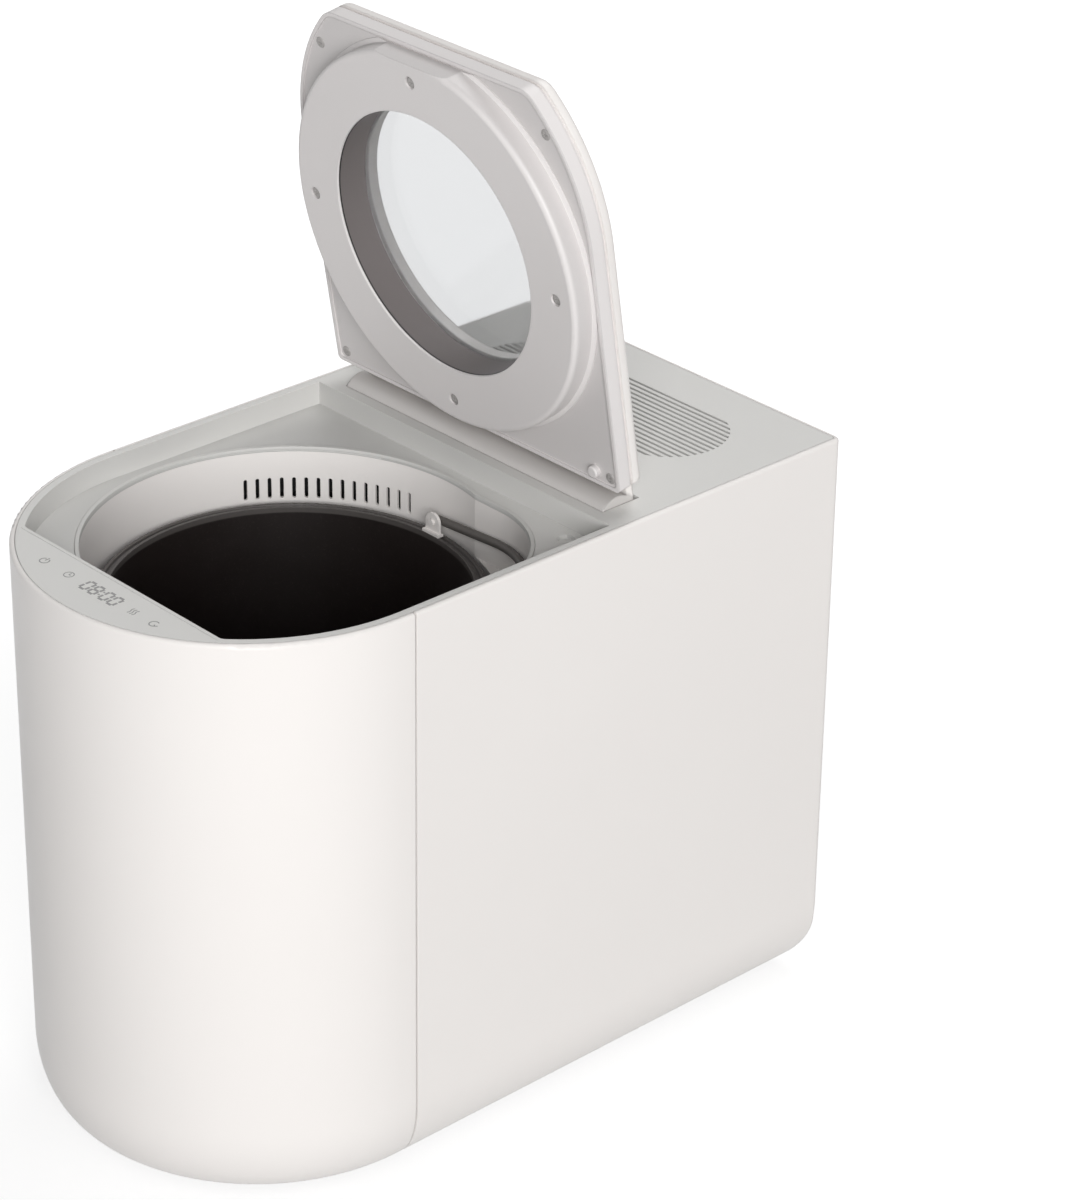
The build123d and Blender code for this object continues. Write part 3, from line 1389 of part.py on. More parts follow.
with BuildPart() as fan_rotor:
    with BuildSketch(Plane.XY.offset(fan_bottom + 3.0 + running_gap)):
        with Locations((0, stack_y)):
            Circle(fan_hub)
    extrude(amount=fan_thickness - 5.0)
    with BuildSketch(Plane.XY.offset(fan_bottom + 3.0 + running_gap)):
        with Locations((0, stack_y)):
            Circle(motor_shaft_radius + pin_gap)
    extrude(amount=fan_thickness - 3.0 - 3.0 - running_gap, mode=Mode.SUBTRACT)
    for i in range(7):
        angle = radians(360 * i / 7)
        blade_plane = Plane(
            origin=(
                (fan_hub - 1) * cos(angle),
                stack_y + (fan_hub - 1) * sin(angle),
                fan_bottom + fan_thickness / 2 + 1.0,
            ),
            x_dir=(-sin(angle), cos(angle), 0),
            z_dir=(cos(angle), sin(angle), 0),
        )
        with BuildSketch(blade_plane):
            Rectangle(15.0, 1.4, rotation=40)
        extrude(amount=fan_radius - fan_hub - 1.0)
fan_rotor.part.label = "fan_rotor"
export_step(fan_rotor.part, "parts/fan_rotor.step")

with BuildPart() as air_box:
    with BuildSketch(Plane.XY.offset(air_bottom)):
        with Locations((0, stack_y)):
            Rectangle(stack_length, stack_width)
    extrude(amount=air_box_height)
    with BuildSketch(Plane.XY.offset(air_bottom + duct_wall)):
        with Locations((0, stack_y)):
            Rectangle(stack_length - 2 * duct_wall, stack_width - 2 * duct_wall)
    extrude(amount=air_box_height - duct_wall, mode=Mode.SUBTRACT)
    with BuildSketch(Plane.XY.offset(air_bottom)):
        with Locations((0, stack_y)):
            Circle(fan_bore)
    extrude(amount=duct_wall, mode=Mode.SUBTRACT)
air_box.part.label = "air_box"
export_step(air_box.part, "parts/air_box.step")

with BuildPart() as filter_frame:
    with BuildSketch(Plane.XY.offset(filter_bottom)):
        with Locations((0, stack_y)):
            Rectangle(stack_length, stack_width)
    extrude(amount=filter_height)
    with BuildSketch(Plane.XY.offset(filter_bottom + duct_wall)):
        with Locations((0, stack_y)):
            Rectangle(stack_length - 2 * duct_wall, stack_width - 2 * duct_wall)
    extrude(amount=filter_height - duct_wall, mode=Mode.SUBTRACT)
    with BuildSketch(Plane.XY.offset(filter_bottom)):
        with Locations((0, stack_y)):
            with GridLocations(18, 18, 8, 5):
                Rectangle(14, 14)
    extrude(amount=duct_wall, mode=Mode.SUBTRACT)
filter_frame.part.label = "filter_frame"
export_step(filter_frame.part, "parts/filter_frame.step")

with BuildPart() as carbon_filter:
    with BuildSketch(Plane.XY.offset(filter_bottom + duct_wall)):
        with Locations((0, stack_y)):
            Rectangle(stack_length - 2 * duct_wall - 2 * part_gap, stack_width - 2 * duct_wall - 2 * part_gap)
    extrude(amount=filter_height - duct_wall - 8.0)
carbon_filter.part.label = "carbon_filter"
export_step(carbon_filter.part, "parts/carbon_filter.step")

# ---------------------------------------------------------------- power inlet and board
inlet_depth = 26.0
inlet_flange = 3.0
inlet_mouth_width = 24.0
inlet_mouth_height = 16.5
inlet_mouth_depth = 16.0
inlet_pin_length = 10.0
board_length = 150.0
board_width = 90.0
board_thickness = 1.6
board_z = 20.0
board_y = back_y - 75.0
post_radius = 4.0

with BuildPart() as power_inlet:
    with BuildSketch(Plane.XZ.offset(-(back_y - 0.2))):
        with Locations((0, inlet_z)):
            Rectangle(inlet_width - 2 * part_gap, inlet_height - 2 * part_gap)
    extrude(amount=inlet_depth)
    with BuildSketch(Plane.XZ.offset(-(back_y - wall - 0.05))):
        with Locations((0, inlet_z)):
            Rectangle(inlet_width + 2 * inlet_flange, inlet_height + 2 * inlet_flange)
    extrude(amount=2.0)
    with BuildSketch(Plane.XZ.offset(-(back_y - 0.2))):
        with Locations((0, inlet_z)):
            RectangleRounded(inlet_mouth_width, inlet_mouth_height, 3)
    extrude(amount=inlet_mouth_depth, mode=Mode.SUBTRACT)
power_inlet.part.label = "power_inlet"
export_step(power_inlet.part, "parts/power_inlet.step")

with BuildPart() as inlet_pins:
    with BuildSketch(Plane.XZ.offset(-(back_y - 0.2 - inlet_mouth_depth))):
        with Locations((-7, inlet_z - 2), (7, inlet_z - 2), (0, inlet_z + 2)):
            Rectangle(2, 4)
    extrude(amount=-inlet_pin_length)
inlet_pins.part.label = "inlet_pins"
export_step(inlet_pins.part, "parts/inlet_pins.step")

board_posts_at = [
    (sx * (board_length / 2 - 8), board_y + sy * (board_width / 2 - 8)) for sx in (-1, 1) for sy in (-1, 1)
]

with BuildPart() as board_posts:
    with BuildSketch(Plane.XY.offset(base_top)):
        with Locations(*board_posts_at):
            Circle(post_radius)
    extrude(amount=board_z - base_top)
board_posts.part.label = "board_posts"
export_step(board_posts.part, "parts/board_posts.step")

with BuildPart() as power_board:
    with BuildSketch(Plane.XY.offset(board_z)):
        with Locations((0, board_y)):
            Rectangle(board_length, board_width)
    extrude(amount=board_thickness)
power_board.part.label = "power_board"
export_step(power_board.part, "parts/power_board.step")

with BuildPart() as board_components:
    with BuildSketch(Plane.XY.offset(board_z + board_thickness)):
        with Locations((-40, board_y)):
            RectangleRounded(42, 36, 3)
    extrude(amount=32)
    with BuildSketch(Plane.XY.offset(board_z + board_thickness)):
        with Locations((8, board_y + 22), (26, board_y + 22)):
            Circle(7)
    extrude(amount=24)
    with BuildSketch(Plane.XY.offset(board_z + board_thickness)):
        with Locations((18, board_y - 18), (42, board_y - 18)):
            Rectangle(18, 14)
    extrude(amount=16)
    with BuildSketch(Plane.XY.offset(board_z + board_thickness)):
        with Locations((62, board_y + 16)):
            Rectangle(4, 40)
    extrude(amount=30)
board_components.part.label = "board_components"
export_step(board_components.part, "parts/board_components.step")
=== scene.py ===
import bpy, bmesh, json, math
from mathutils import Matrix, Vector


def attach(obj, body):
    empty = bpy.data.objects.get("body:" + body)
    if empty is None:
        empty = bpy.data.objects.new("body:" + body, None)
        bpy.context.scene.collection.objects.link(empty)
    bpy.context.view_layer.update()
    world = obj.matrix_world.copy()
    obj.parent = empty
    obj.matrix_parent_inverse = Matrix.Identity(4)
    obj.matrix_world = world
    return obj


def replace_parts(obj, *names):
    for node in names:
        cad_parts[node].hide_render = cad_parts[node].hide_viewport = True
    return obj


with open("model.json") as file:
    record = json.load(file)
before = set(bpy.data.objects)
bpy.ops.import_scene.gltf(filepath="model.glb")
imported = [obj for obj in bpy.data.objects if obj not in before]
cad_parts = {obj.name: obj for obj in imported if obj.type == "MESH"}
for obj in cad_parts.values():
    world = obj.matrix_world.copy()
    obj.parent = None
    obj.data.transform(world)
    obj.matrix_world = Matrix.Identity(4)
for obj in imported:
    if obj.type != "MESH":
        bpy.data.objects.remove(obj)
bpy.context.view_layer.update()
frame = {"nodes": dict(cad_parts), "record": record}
nodes = frame["nodes"]
MM = 0.001

# the body and the lid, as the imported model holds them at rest, in metres
DECK_Z = 0.313
BAIL_Z = 0.2795
PIN_END = 0.0928
PIN_REACH = 0.0025
RIM_LOW_Z = 0.2698
RIM_HIGH_Z = 0.2704
ROLL_END = 0.105
CHAMBER_Y = -0.0627
HINGE = Vector((0, 0.064, 0.306))
LID_SEAT_Z = 0.3016
LID_OPEN = math.radians(80.7)

# the lid's own plane: u along the hinge, v towards the lid's front, w out of its inner face
LID_U = Vector((1, 0, 0))
LID_V = Vector((0, -math.cos(LID_OPEN), math.sin(LID_OPEN)))
LID_W = Vector((0, -math.sin(LID_OPEN), -math.cos(LID_OPEN)))
LID_ORIGIN = HINGE + LID_V * (HINGE.y - CHAMBER_Y) + LID_W * (HINGE.z - LID_SEAT_Z)


def lid_point(u, v, w):
    """World place of a point given in the lid's plane in millimetres."""
    return LID_ORIGIN + (LID_U * u + LID_V * v + LID_W * w) * MM


# ---------------------------------------------------------------- material tools
def linear(colour):
    """Linear colour, with alpha, of 0-255 sRGB numbers."""
    out = []
    for value in colour:
        part = value / 255
        out.append(part / 12.92 if part <= 0.04045 else ((part + 0.055) / 1.055) ** 2.4)
    return tuple(out) + (1.0,)


def new_material(name):
    material = bpy.data.materials.new(name)
    material.use_nodes = True
    return material, material.node_tree.nodes, material.node_tree.links


def put(links, socket, value):
    """Links a node's output to socket, or sets the socket to a number."""
    if hasattr(value, "links"):
        links.new(value, socket)
    else:
        socket.default_value = value


def math_node(n, l, operation, a, b=0.0):
    node = n.new("ShaderNodeMath")
    node.operation = operation
    put(l, node.inputs[0], a)
    put(l, node.inputs[1], b)
    return node.outputs[0]


def ramp(n, l, value, from_min, from_max, to_min, to_max, smooth=False):
    node = n.new("ShaderNodeMapRange")
    if smooth:
        node.interpolation_type = "SMOOTHSTEP"
    node.inputs["From Min"].default_value = from_min
    node.inputs["From Max"].default_value = from_max
    node.inputs["To Min"].default_value = to_min
    node.inputs["To Max"].default_value = to_max
    l.new(value, node.inputs["Value"])
    return node.outputs["Result"]


def noise(n, l, place, scale, detail=3):
    node = n.new("ShaderNodeTexNoise")
    node.inputs["Scale"].default_value = scale
    node.inputs["Detail"].default_value = detail
    l.new(place, node.inputs["Vector"])
    return node.outputs["Fac"]


def mix_colour(n, l, factor, a, b):
    node = n.new("ShaderNodeMix")
    node.data_type = "RGBA"
    put(l, node.inputs["Factor"], factor)
    put(l, node.inputs["A"], a)
    put(l, node.inputs["B"], b)
    return node.outputs["Result"]


def bump(n, l, height, strength, distance, normal):
    node = n.new("ShaderNodeBump")
    node.inputs["Strength"].default_value = strength
    node.inputs["Distance"].default_value = distance
    l.new(height, node.inputs["Height"])
    if normal:
        l.new(normal, node.inputs["Normal"])
    return node.outputs["Normal"]


def surface(
    name, colour, rough=0.45, metal=0.0, grain=0.0, grain_size=0.0008, tone=0.02, tone_size=0.09,
    coat=0.0, rough_var=0.06, edge=0.0, wear=0.0, wear_colour=(120, 118, 115), brushed=0.0,
    residue=0.0, residue_colour=(70, 64, 60), painted_shade=None, zone=None, zone_colour=None,
):
    """Moulded, painted or metal surface: colour drift, uneven gloss, fine grain, softened and rubbed edges.

    painted_shade(n, l, place, normal) gives a factor of painted shade on the colour, and zone(n, l, place)
    where zone_colour shows.
    """
    material, n, l = new_material(name)
    shader = n["Principled BSDF"]
    place = n.new("ShaderNodeTexCoord").outputs["Object"]
    geometry = n.new("ShaderNodeNewGeometry")
    brightness = ramp(n, l, noise(n, l, place, 1 / tone_size), 0.3, 0.7, 1 - tone, 1 + tone)
    # painted shade: the painted_shade function darkens the colour here
    if painted_shade:
        brightness = math_node(n, l, "MULTIPLY", brightness, painted_shade(n, l, place, geometry.outputs["Normal"]))
    scaled = n.new("ShaderNodeVectorMath")
    scaled.operation = "SCALE"
    scaled.inputs[0].default_value = linear(colour)[:3]
    l.new(brightness, scaled.inputs["Scale"])
    base = scaled.outputs["Vector"]
    if zone:
        base = mix_colour(n, l, zone(n, l, place), base, linear(zone_colour))
    if residue:
        amount = ramp(n, l, noise(n, l, place, 900, 4), 0.58, 0.72, 0.0, residue)
        base = mix_colour(n, l, amount, base, linear(residue_colour))
    normal = None
    if edge:
        rounded = n.new("ShaderNodeBevel")
        rounded.samples = 4
        rounded.inputs["Radius"].default_value = edge
        normal = rounded.outputs["Normal"]
        if wear:
            flat = n.new("ShaderNodeVectorMath")
            flat.operation = "DOT_PRODUCT"
            l.new(normal, flat.inputs[0])
            l.new(geometry.outputs["Normal"], flat.inputs[1])
            rubbed = ramp(n, l, flat.outputs["Value"], 0.99, 0.80, 0.0, wear)
            base = mix_colour(n, l, rubbed, base, linear(wear_colour))
    l.new(base, shader.inputs["Base Color"])
    gloss = noise(n, l, place, 60, 5)
    roughness = ramp(n, l, gloss, 0.0, 1.0, max(0.02, rough - rough_var), rough + rough_var)
    l.new(roughness, shader.inputs["Roughness"])
    shader.inputs["Metallic"].default_value = metal
    if coat:
        shader.inputs["Coat Weight"].default_value = coat
        shader.inputs["Coat Roughness"].default_value = 0.15
    if brushed:
        stretch = n.new("ShaderNodeMapping")
        stretch.inputs["Scale"].default_value = (60, 60, 4000)
        l.new(place, stretch.inputs["Vector"])
        normal = bump(n, l, noise(n, l, stretch.outputs["Vector"], 1.0), brushed, 0.00005, normal)
    if grain:
        normal = bump(n, l, noise(n, l, place, 1 / grain_size, 2), grain, 0.00008, normal)
    if normal:
        l.new(normal, shader.inputs["Normal"])
    return material


def split(n, l, vector):
    node = n.new("ShaderNodeSeparateXYZ")
    l.new(vector, node.inputs["Vector"])
    return node.outputs


# painted-shade factors on a surface's colour
RECESS_LEFT_SHADE = 0.80
RECESS_RIGHT_SHADE = 0.98
REAR_WALL_SHADE = 0.86
NEAR_HINGE_SHADE = 0.95
ROLL_PAINTED_SHADE = 0.66
PLATE_FACE_SHADE = 0.86
BOSS_SIDE_SHADE = 0.82


def recess_painted_shade(n, l, place, normal):
    """Painted shade in the recess: darker than the deck, most at its left side, and darker again on its
    rear wall.
    """
    at = split(n, l, place)
    facing = split(n, l, normal)
    low = ramp(n, l, at["X"], -0.08, 0.08, RECESS_LEFT_SHADE, RECESS_RIGHT_SHADE)
    deck = ramp(n, l, at["Z"], DECK_Z - 0.0006, DECK_Z - 0.0002, 0.0, 1.0)
    depth = math_node(n, l, "MAXIMUM", low, deck)
    front_face = math_node(n, l, "LESS_THAN", facing["Y"], -0.7)
    behind = math_node(n, l, "GREATER_THAN", at["Y"], 0.03)
    rear_wall = math_node(n, l, "MULTIPLY", front_face, behind)
    return math_node(n, l, "MULTIPLY", depth, ramp(n, l, rear_wall, 0.0, 1.0, 1.0, REAR_WALL_SHADE))


def hinge_distance(n, l, place):
    """Distance from the lid's hinge axis."""
    away = n.new("ShaderNodeVectorMath")
    away.operation = "MULTIPLY_ADD"
    l.new(place, away.inputs[0])
    away.inputs[1].default_value = (0, 1, 1)
    away.inputs[2].default_value = -HINGE
    reach = n.new("ShaderNodeVectorMath")
    reach.operation = "LENGTH"
    l.new(away.outputs["Vector"], reach.inputs[0])
    return reach.outputs["Value"]


def along(n, l, vector, axis):
    """Component of vector along axis."""
    node = n.new("ShaderNodeVectorMath")
    node.operation = "DOT_PRODUCT"
    l.new(vector, node.inputs[0])
    node.inputs[1].default_value = axis
    return node.outputs["Value"]


def lid_painted_shade(n, l, place, normal):
    """Painted shade on the lid: darker towards its hinge roll, on the plate's sunk face and on the boss's
    side.
    """
    near_hinge = ramp(n, l, hinge_distance(n, l, place), 0.012, 0.11, NEAR_HINGE_SHADE, 1.0, smooth=True)
    facing = along(n, l, normal, LID_W)
    height = math_node(n, l, "SUBTRACT", along(n, l, place, LID_W), LID_ORIGIN.dot(LID_W))
    across = along(n, l, place, LID_U)
    forward = math_node(n, l, "SUBTRACT", along(n, l, place, LID_V), LID_ORIGIN.dot(LID_V))
    squares = [math_node(n, l, "MULTIPLY", value, value) for value in (across, forward)]
    reach = math_node(n, l, "SQRT", math_node(n, l, "ADD", *squares))
    above_plate = ramp(n, l, height, -0.0008, -0.0004, 0.0, 1.0)
    below = math_node(n, l, "SUBTRACT", 1.0, above_plate)
    sunk = math_node(n, l, "MULTIPLY", ramp(n, l, facing, 0.6, 0.95, 0.0, 1.0), below)
    side = math_node(n, l, "MULTIPLY", ramp(n, l, facing, 0.3, 0.8, 1.0, 0.0), above_plate)
    side = math_node(n, l, "MULTIPLY", side, ramp(n, l, reach, 0.085, 0.086, 0.0, 1.0))
    painted_shade = near_hinge
    for amount, factor in ((sunk, PLATE_FACE_SHADE), (side, BOSS_SIDE_SHADE)):
        painted_shade = math_node(n, l, "MULTIPLY", painted_shade, ramp(n, l, amount, 0.0, 1.0, 1.0, factor))
    return painted_shade


def roll_painted_shade(n, l, place, normal):
    """Painted shade on the hinge roll, which is darker; the body's sides, which the hinge axis meets too,
    are not.
    """
    roll = ramp(n, l, hinge_distance(n, l, place), 0.0125, 0.014, ROLL_PAINTED_SHADE, 1.0)
    sideways = math_node(n, l, "ABSOLUTE", split(n, l, place)["X"])
    outside = math_node(n, l, "GREATER_THAN", sideways, ROLL_END)
    return math_node(n, l, "MAXIMUM", roll, outside)


def rim_zone(n, l, place):
    """The bucket's rolled rim, which is coloured a lighter grey than the rest of the bucket."""
    return ramp(n, l, split(n, l, place)["Z"], RIM_LOW_Z, RIM_HIGH_Z, 0.0, 1.0)


def pin_zone(n, l, place):
    """The bail's pin ends, which show in the brackets."""
    at = split(n, l, place)
    side = math_node(n, l, "ABSOLUTE", math_node(n, l, "SUBTRACT", at["Y"], CHAMBER_Y))
    rise = math_node(n, l, "ABSOLUTE", math_node(n, l, "SUBTRACT", at["Z"], BAIL_Z))
    inside = math_node(n, l, "LESS_THAN", side, PIN_END)
    for offset in (rise, math_node(n, l, "ABSOLUTE", at["X"])):
        inside = math_node(n, l, "MULTIPLY", inside, math_node(n, l, "LESS_THAN", offset, PIN_REACH))
    return inside


# ---------------------------------------------------------------- materials
BODY_WHITE = (240, 236, 233)
DECK_GREY = (225, 224, 221)
LID_GREY = (230, 226, 225)
LINER_GREY = (240, 236, 233)

# shell_white, frame_grey and lid_grey carry painted shade through their painted_shade functions
materials = {
    "shell_white": surface(
        "shell_white", BODY_WHITE, 0.34, grain=0.12, tone=0.005, edge=0.0014, painted_shade=roll_painted_shade
    ),
    "frame_grey": surface(
        "frame_grey", DECK_GREY, 0.46, grain=0.25, tone=0.008, edge=0.0006, painted_shade=recess_painted_shade
    ),
    "panel_grey": surface("panel_grey", DECK_GREY, 0.34, grain=0.1, tone=0.006, edge=0.0003),
    "display_glass": surface("display_glass", (222, 221, 218), 0.2, tone=0.006, coat=0.4),
    "seal_grey": surface("seal_grey", (214, 213, 210), 0.55, grain=0.3, tone=0.02, edge=0.0006),
    "liner_grey": surface("liner_grey", LINER_GREY, 0.42, grain=0.2, tone=0.012, edge=0.0005),
    "lid_grey": surface("lid_grey", LID_GREY, 0.42, grain=0.2, tone=0.008, edge=0.0007, painted_shade=lid_painted_shade),
    "sleeve_dark": surface("sleeve_dark", (106, 100, 99), 0.5, grain=0.3, tone=0.02),
    "nonstick": surface(
        "nonstick", (26, 20, 19), 0.46, grain=0.5, grain_size=0.0004, tone=0.05, residue=0.25, edge=0.0006,
        zone=rim_zone, zone_colour=(80, 76, 74),
    ),
    "handle_dark": surface(
        "handle_dark", (84, 80, 77), 0.58, grain=0.3, tone=0.04, zone=pin_zone, zone_colour=LINER_GREY
    ),
    "paddle_metal": surface(
        "paddle_metal", (46, 41, 40), 0.42, grain=0.4, tone=0.06, edge=0.001, wear=0.5,
        wear_colour=(120, 116, 112),
    ),
    "rubber_grey": surface("rubber_grey", (150, 148, 146), 0.8, grain=0.5, tone=0.04),
    "rubber_black": surface("rubber_black", (28, 28, 28), 0.8, grain=0.5),
    "base_grey": surface("base_grey", (188, 186, 184), 0.6, grain=0.5, edge=0.0005),
    "screw_steel": surface(
        "screw_steel", (168, 166, 163), 0.34, metal=0.9, grain=0.2, tone=0.05, edge=0.0003
    ),
    "board_green": surface("board_green", (30, 92, 52), 0.4, tone=0.06, grain=0.4),
    "aluminium": surface(
        "aluminium", (188, 187, 184), 0.38, metal=1.0, grain=0.3, brushed=0.5, edge=0.0005
    ),
    "heater_dark": surface("heater_dark", (70, 64, 60), 0.6, metal=0.6, grain=0.4, tone=0.1),
    "gear_case": surface("gear_case", (52, 52, 54), 0.6, grain=0.5, edge=0.0006),
    "bronze": surface("bronze", (166, 122, 66), 0.42, metal=1.0, tone=0.06, grain=0.2, edge=0.0003),
    "gear_steel": surface("gear_steel", (150, 150, 152), 0.34, metal=1.0, tone=0.05, edge=0.0003),
    "shaft_steel": surface("shaft_steel", (170, 170, 172), 0.28, metal=1.0, tone=0.04, brushed=0.4),
    "gear_plastic": surface("gear_plastic", (226, 222, 208), 0.5, tone=0.02, edge=0.0003),
    "motor_steel": surface("motor_steel", (158, 158, 160), 0.36, metal=1.0, tone=0.05, brushed=0.5),
    "duct_black": surface("duct_black", (38, 38, 39), 0.6, grain=0.5, edge=0.0005),
    "carbon": surface("carbon", (24, 24, 25), 0.9, grain=0.9, grain_size=0.002, tone=0.2, tone_size=0.003),
    "component_dark": surface("component_dark", (44, 44, 48), 0.5, tone=0.05, edge=0.0004),
}
lid_screw_finish = surface("lid_screw_finish", (164, 161, 159), 0.42, metal=0.2, grain=0.2, tone=0.03)
gasket_finish = surface("gasket_finish", (34, 32, 31), 0.5, grain=0.3, tone=0.05)
print_finish = surface("print_finish", (150, 149, 148), 0.4, grain=0.15, tone=0.03)


def glass_material():
    """Clear window with a faint grey tint and slight smears in its gloss."""
    material, n, l = new_material("glass")
    shader = n["Principled BSDF"]
    shader.inputs["Base Color"].default_value = linear((208, 209, 210))
    shader.inputs["Transmission Weight"].default_value = 1.0
    shader.inputs["IOR"].default_value = 1.2
    place = n.new("ShaderNodeTexCoord").outputs["Object"]
    l.new(ramp(n, l, noise(n, l, place, 30, 4), 0.0, 1.0, 0.02, 0.10), shader.inputs["Roughness"])
    return material


materials["glass"] = glass_material()
slot_of = {part["node"]: part["material_slot"] for part in frame["record"]["subparts"]}
for name, node_object in nodes.items():
    node_object.data.materials.clear()
    node_object.data.materials.append(materials[slot_of[name]])


# ---------------------------------------------------------------- mesh tools
def piece(name, bm, material, body, smooth=True):
    """A new piece from bm, on a CAD body."""
    bmesh.ops.recalc_face_normals(bm, faces=bm.faces)
    mesh = bpy.data.meshes.new(name)
    bm.to_mesh(mesh)
    bm.free()
    for face in mesh.polygons:
        face.use_smooth = smooth
    mesh.materials.append(material)
    result = bpy.data.objects.new(name, mesh)
    bpy.context.scene.collection.objects.link(result)
    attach(result, body)
    return result


def skin(bm, rows, around=False, along=False):
    """Faces between rows of vertices: around closes each row, along closes the last row to the first."""
    count = len(rows[0])
    for i in range(len(rows) if along else len(rows) - 1):
        a, b = rows[i], rows[(i + 1) % len(rows)]
        for j in range(count if around else count - 1):
            k = (j + 1) % count
            bm.faces.new((a[j], a[k], b[k], b[j]))


def circle(radius, steps, start=0.0, end=2 * math.pi):
    """Points of a circle, or with start and end of an arc with both its ends."""
    whole = abs(end - start - 2 * math.pi) < 1e-9
    spans = steps if whole else steps - 1
    turns = [start + (end - start) * i / spans for i in range(steps)]
    return [(radius * math.cos(turn), radius * math.sin(turn)) for turn in turns]


# ---------------------------------------------------------------- window gasket
BOSS_FACE = 10.8
GASKET_RADIUS = 69.6
GASKET_TUBE = 0.45
GASKET_DEPTH = 1.75

bm = bmesh.new()
rows = []
for x, y in circle(1.0, 160):
    row = []
    for across, up in circle(GASKET_TUBE, 10):
        reach = GASKET_RADIUS + across
        row.append(bm.verts.new(lid_point(reach * x, reach * y, BOSS_FACE - GASKET_DEPTH + up)))
    rows.append(row)
skin(bm, rows, around=True, along=True)
piece("window_gasket", bm, gasket_finish, "lid")


# ---------------------------------------------------------------- lid screws: domed, cross-recessed
HEAD_RADIUS = 2.9
SHANK_RADIUS = 1.4
SHANK_LENGTH = 5.0
CROSS_HALF_LENGTH = 1.3
CROSS_HALF_WIDTH = 0.35
CROSS_DEPTH = 0.6
HEAD_RINGS = 9
HEAD_STEPS = 48


def screw(bm, u, v, seat, height):
    """A screw in the lid's plane: its head rises from seat by height, and its shank goes below it."""
    rows = [[bm.verts.new(lid_point(u, v, seat - SHANK_LENGTH))]]
    for radius, w in ((SHANK_RADIUS, seat - SHANK_LENGTH), (SHANK_RADIUS, seat), (HEAD_RADIUS, seat)):
        rows.append([bm.verts.new(lid_point(u + x, v + y, w)) for x, y in circle(radius, HEAD_STEPS)])
    for i in range(HEAD_RINGS):
        lean = (i + 0.5) / HEAD_RINGS * math.pi / 2
        row = []
        for x, y in circle(HEAD_RADIUS * math.cos(lean), HEAD_STEPS):
            long_x = abs(x) < CROSS_HALF_LENGTH and abs(y) < CROSS_HALF_WIDTH
            long_y = abs(y) < CROSS_HALF_LENGTH and abs(x) < CROSS_HALF_WIDTH
            sunk = CROSS_DEPTH if long_x or long_y else 0
            row.append(bm.verts.new(lid_point(u + x, v + y, seat + height * math.sin(lean) - sunk)))
        rows.append(row)
    rows.append([bm.verts.new(lid_point(u, v, seat + height - CROSS_DEPTH))])
    skin(bm, rows[1:-1], around=True)
    for tip, row in ((rows[0][0], rows[1]), (rows[-1][0], rows[-2])):
        for j in range(HEAD_STEPS):
            bm.faces.new((tip, row[j], row[(j + 1) % HEAD_STEPS]))


SCREWS_APART = 12.0


def lid_places(node):
    """Centres, in the lid's plane in millimetres, and lowest and highest w of a node's solids."""
    groups = []
    for vertex in nodes[node].data.vertices:
        offset = (vertex.co - LID_ORIGIN) / MM
        u, v, w = offset.dot(LID_U), offset.dot(LID_V), offset.dot(LID_W)
        near = [g for g in groups if math.hypot(g[0][0] - u, g[0][1] - v) < SCREWS_APART]
        if near:
            near[0].append((u, v, w))
        else:
            groups.append([(u, v, w)])
    out = []
    for g in groups:
        u, v, w = zip(*g)
        out.append(((min(u) + max(u)) / 2, (min(v) + max(v)) / 2, min(w), max(w)))
    return out


HEAD_HEIGHT = 0.8
for node in ("boss_screws", "lid_screws"):
    bm = bmesh.new()
    for u, v, low, high in lid_places(node):
        screw(bm, u, v, high - HEAD_HEIGHT, HEAD_HEIGHT)
    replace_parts(piece(node + "_detail", bm, lid_screw_finish, "lid"), node)

# ---------------------------------------------------------------- control panel
NOSE_Y = -86.0
PANEL_EDGE_RADIUS = 110.85
PANEL_BACK_Y = -165.6
SYMBOL_Y = -178.5
DISPLAY_X = 4.0
SEAT_LIFT = 0.000004
FILM_LIFT = 0.00003
PRINT_LIFT = 0.00008
BEAD_PROFILE = ((-0.7, 0.0), (-0.35, 0.7), (0.0, 1.0), (0.35, 0.7), (0.7, 0.0))

bm = bmesh.new()
edge_turn = math.asin((PANEL_BACK_Y - NOSE_Y) / PANEL_EDGE_RADIUS)
rows = []
for x, y in circle(1.0, 120, -math.pi - edge_turn, edge_turn):
    row = []
    for across, lift in BEAD_PROFILE:
        reach = PANEL_EDGE_RADIUS + across
        height = DECK_Z + FILM_LIFT * lift + SEAT_LIFT
        row.append(bm.verts.new((reach * x * MM, (NOSE_Y + reach * y) * MM, height)))
    rows.append(row)
skin(bm, rows)
piece("panel_bead", bm, materials["panel_grey"], "base")

FILM_HALF_LENGTH = 14.8
FILM_HALF_WIDTH = 6.3
FILM_CORNER = 1.5
bm = bmesh.new()
outline = []
for quarter, (side_x, side_y) in enumerate(((1, 1), (-1, 1), (-1, -1), (1, -1))):
    centre_x = side_x * (FILM_HALF_LENGTH - FILM_CORNER)
    centre_y = side_y * (FILM_HALF_WIDTH - FILM_CORNER)
    for x, y in circle(FILM_CORNER, 8, quarter * math.pi / 2, (quarter + 1) * math.pi / 2):
        outline.append((DISPLAY_X + centre_x + x, SYMBOL_Y + centre_y + y))
rows = []
for lift in (SEAT_LIFT, FILM_LIFT):
    rows.append([bm.verts.new((x * MM, y * MM, DECK_Z + lift)) for x, y in outline])
skin(bm, rows, around=True)
bm.faces.new(rows[1])
piece("display_film", bm, materials["panel_grey"], "base", smooth=False)


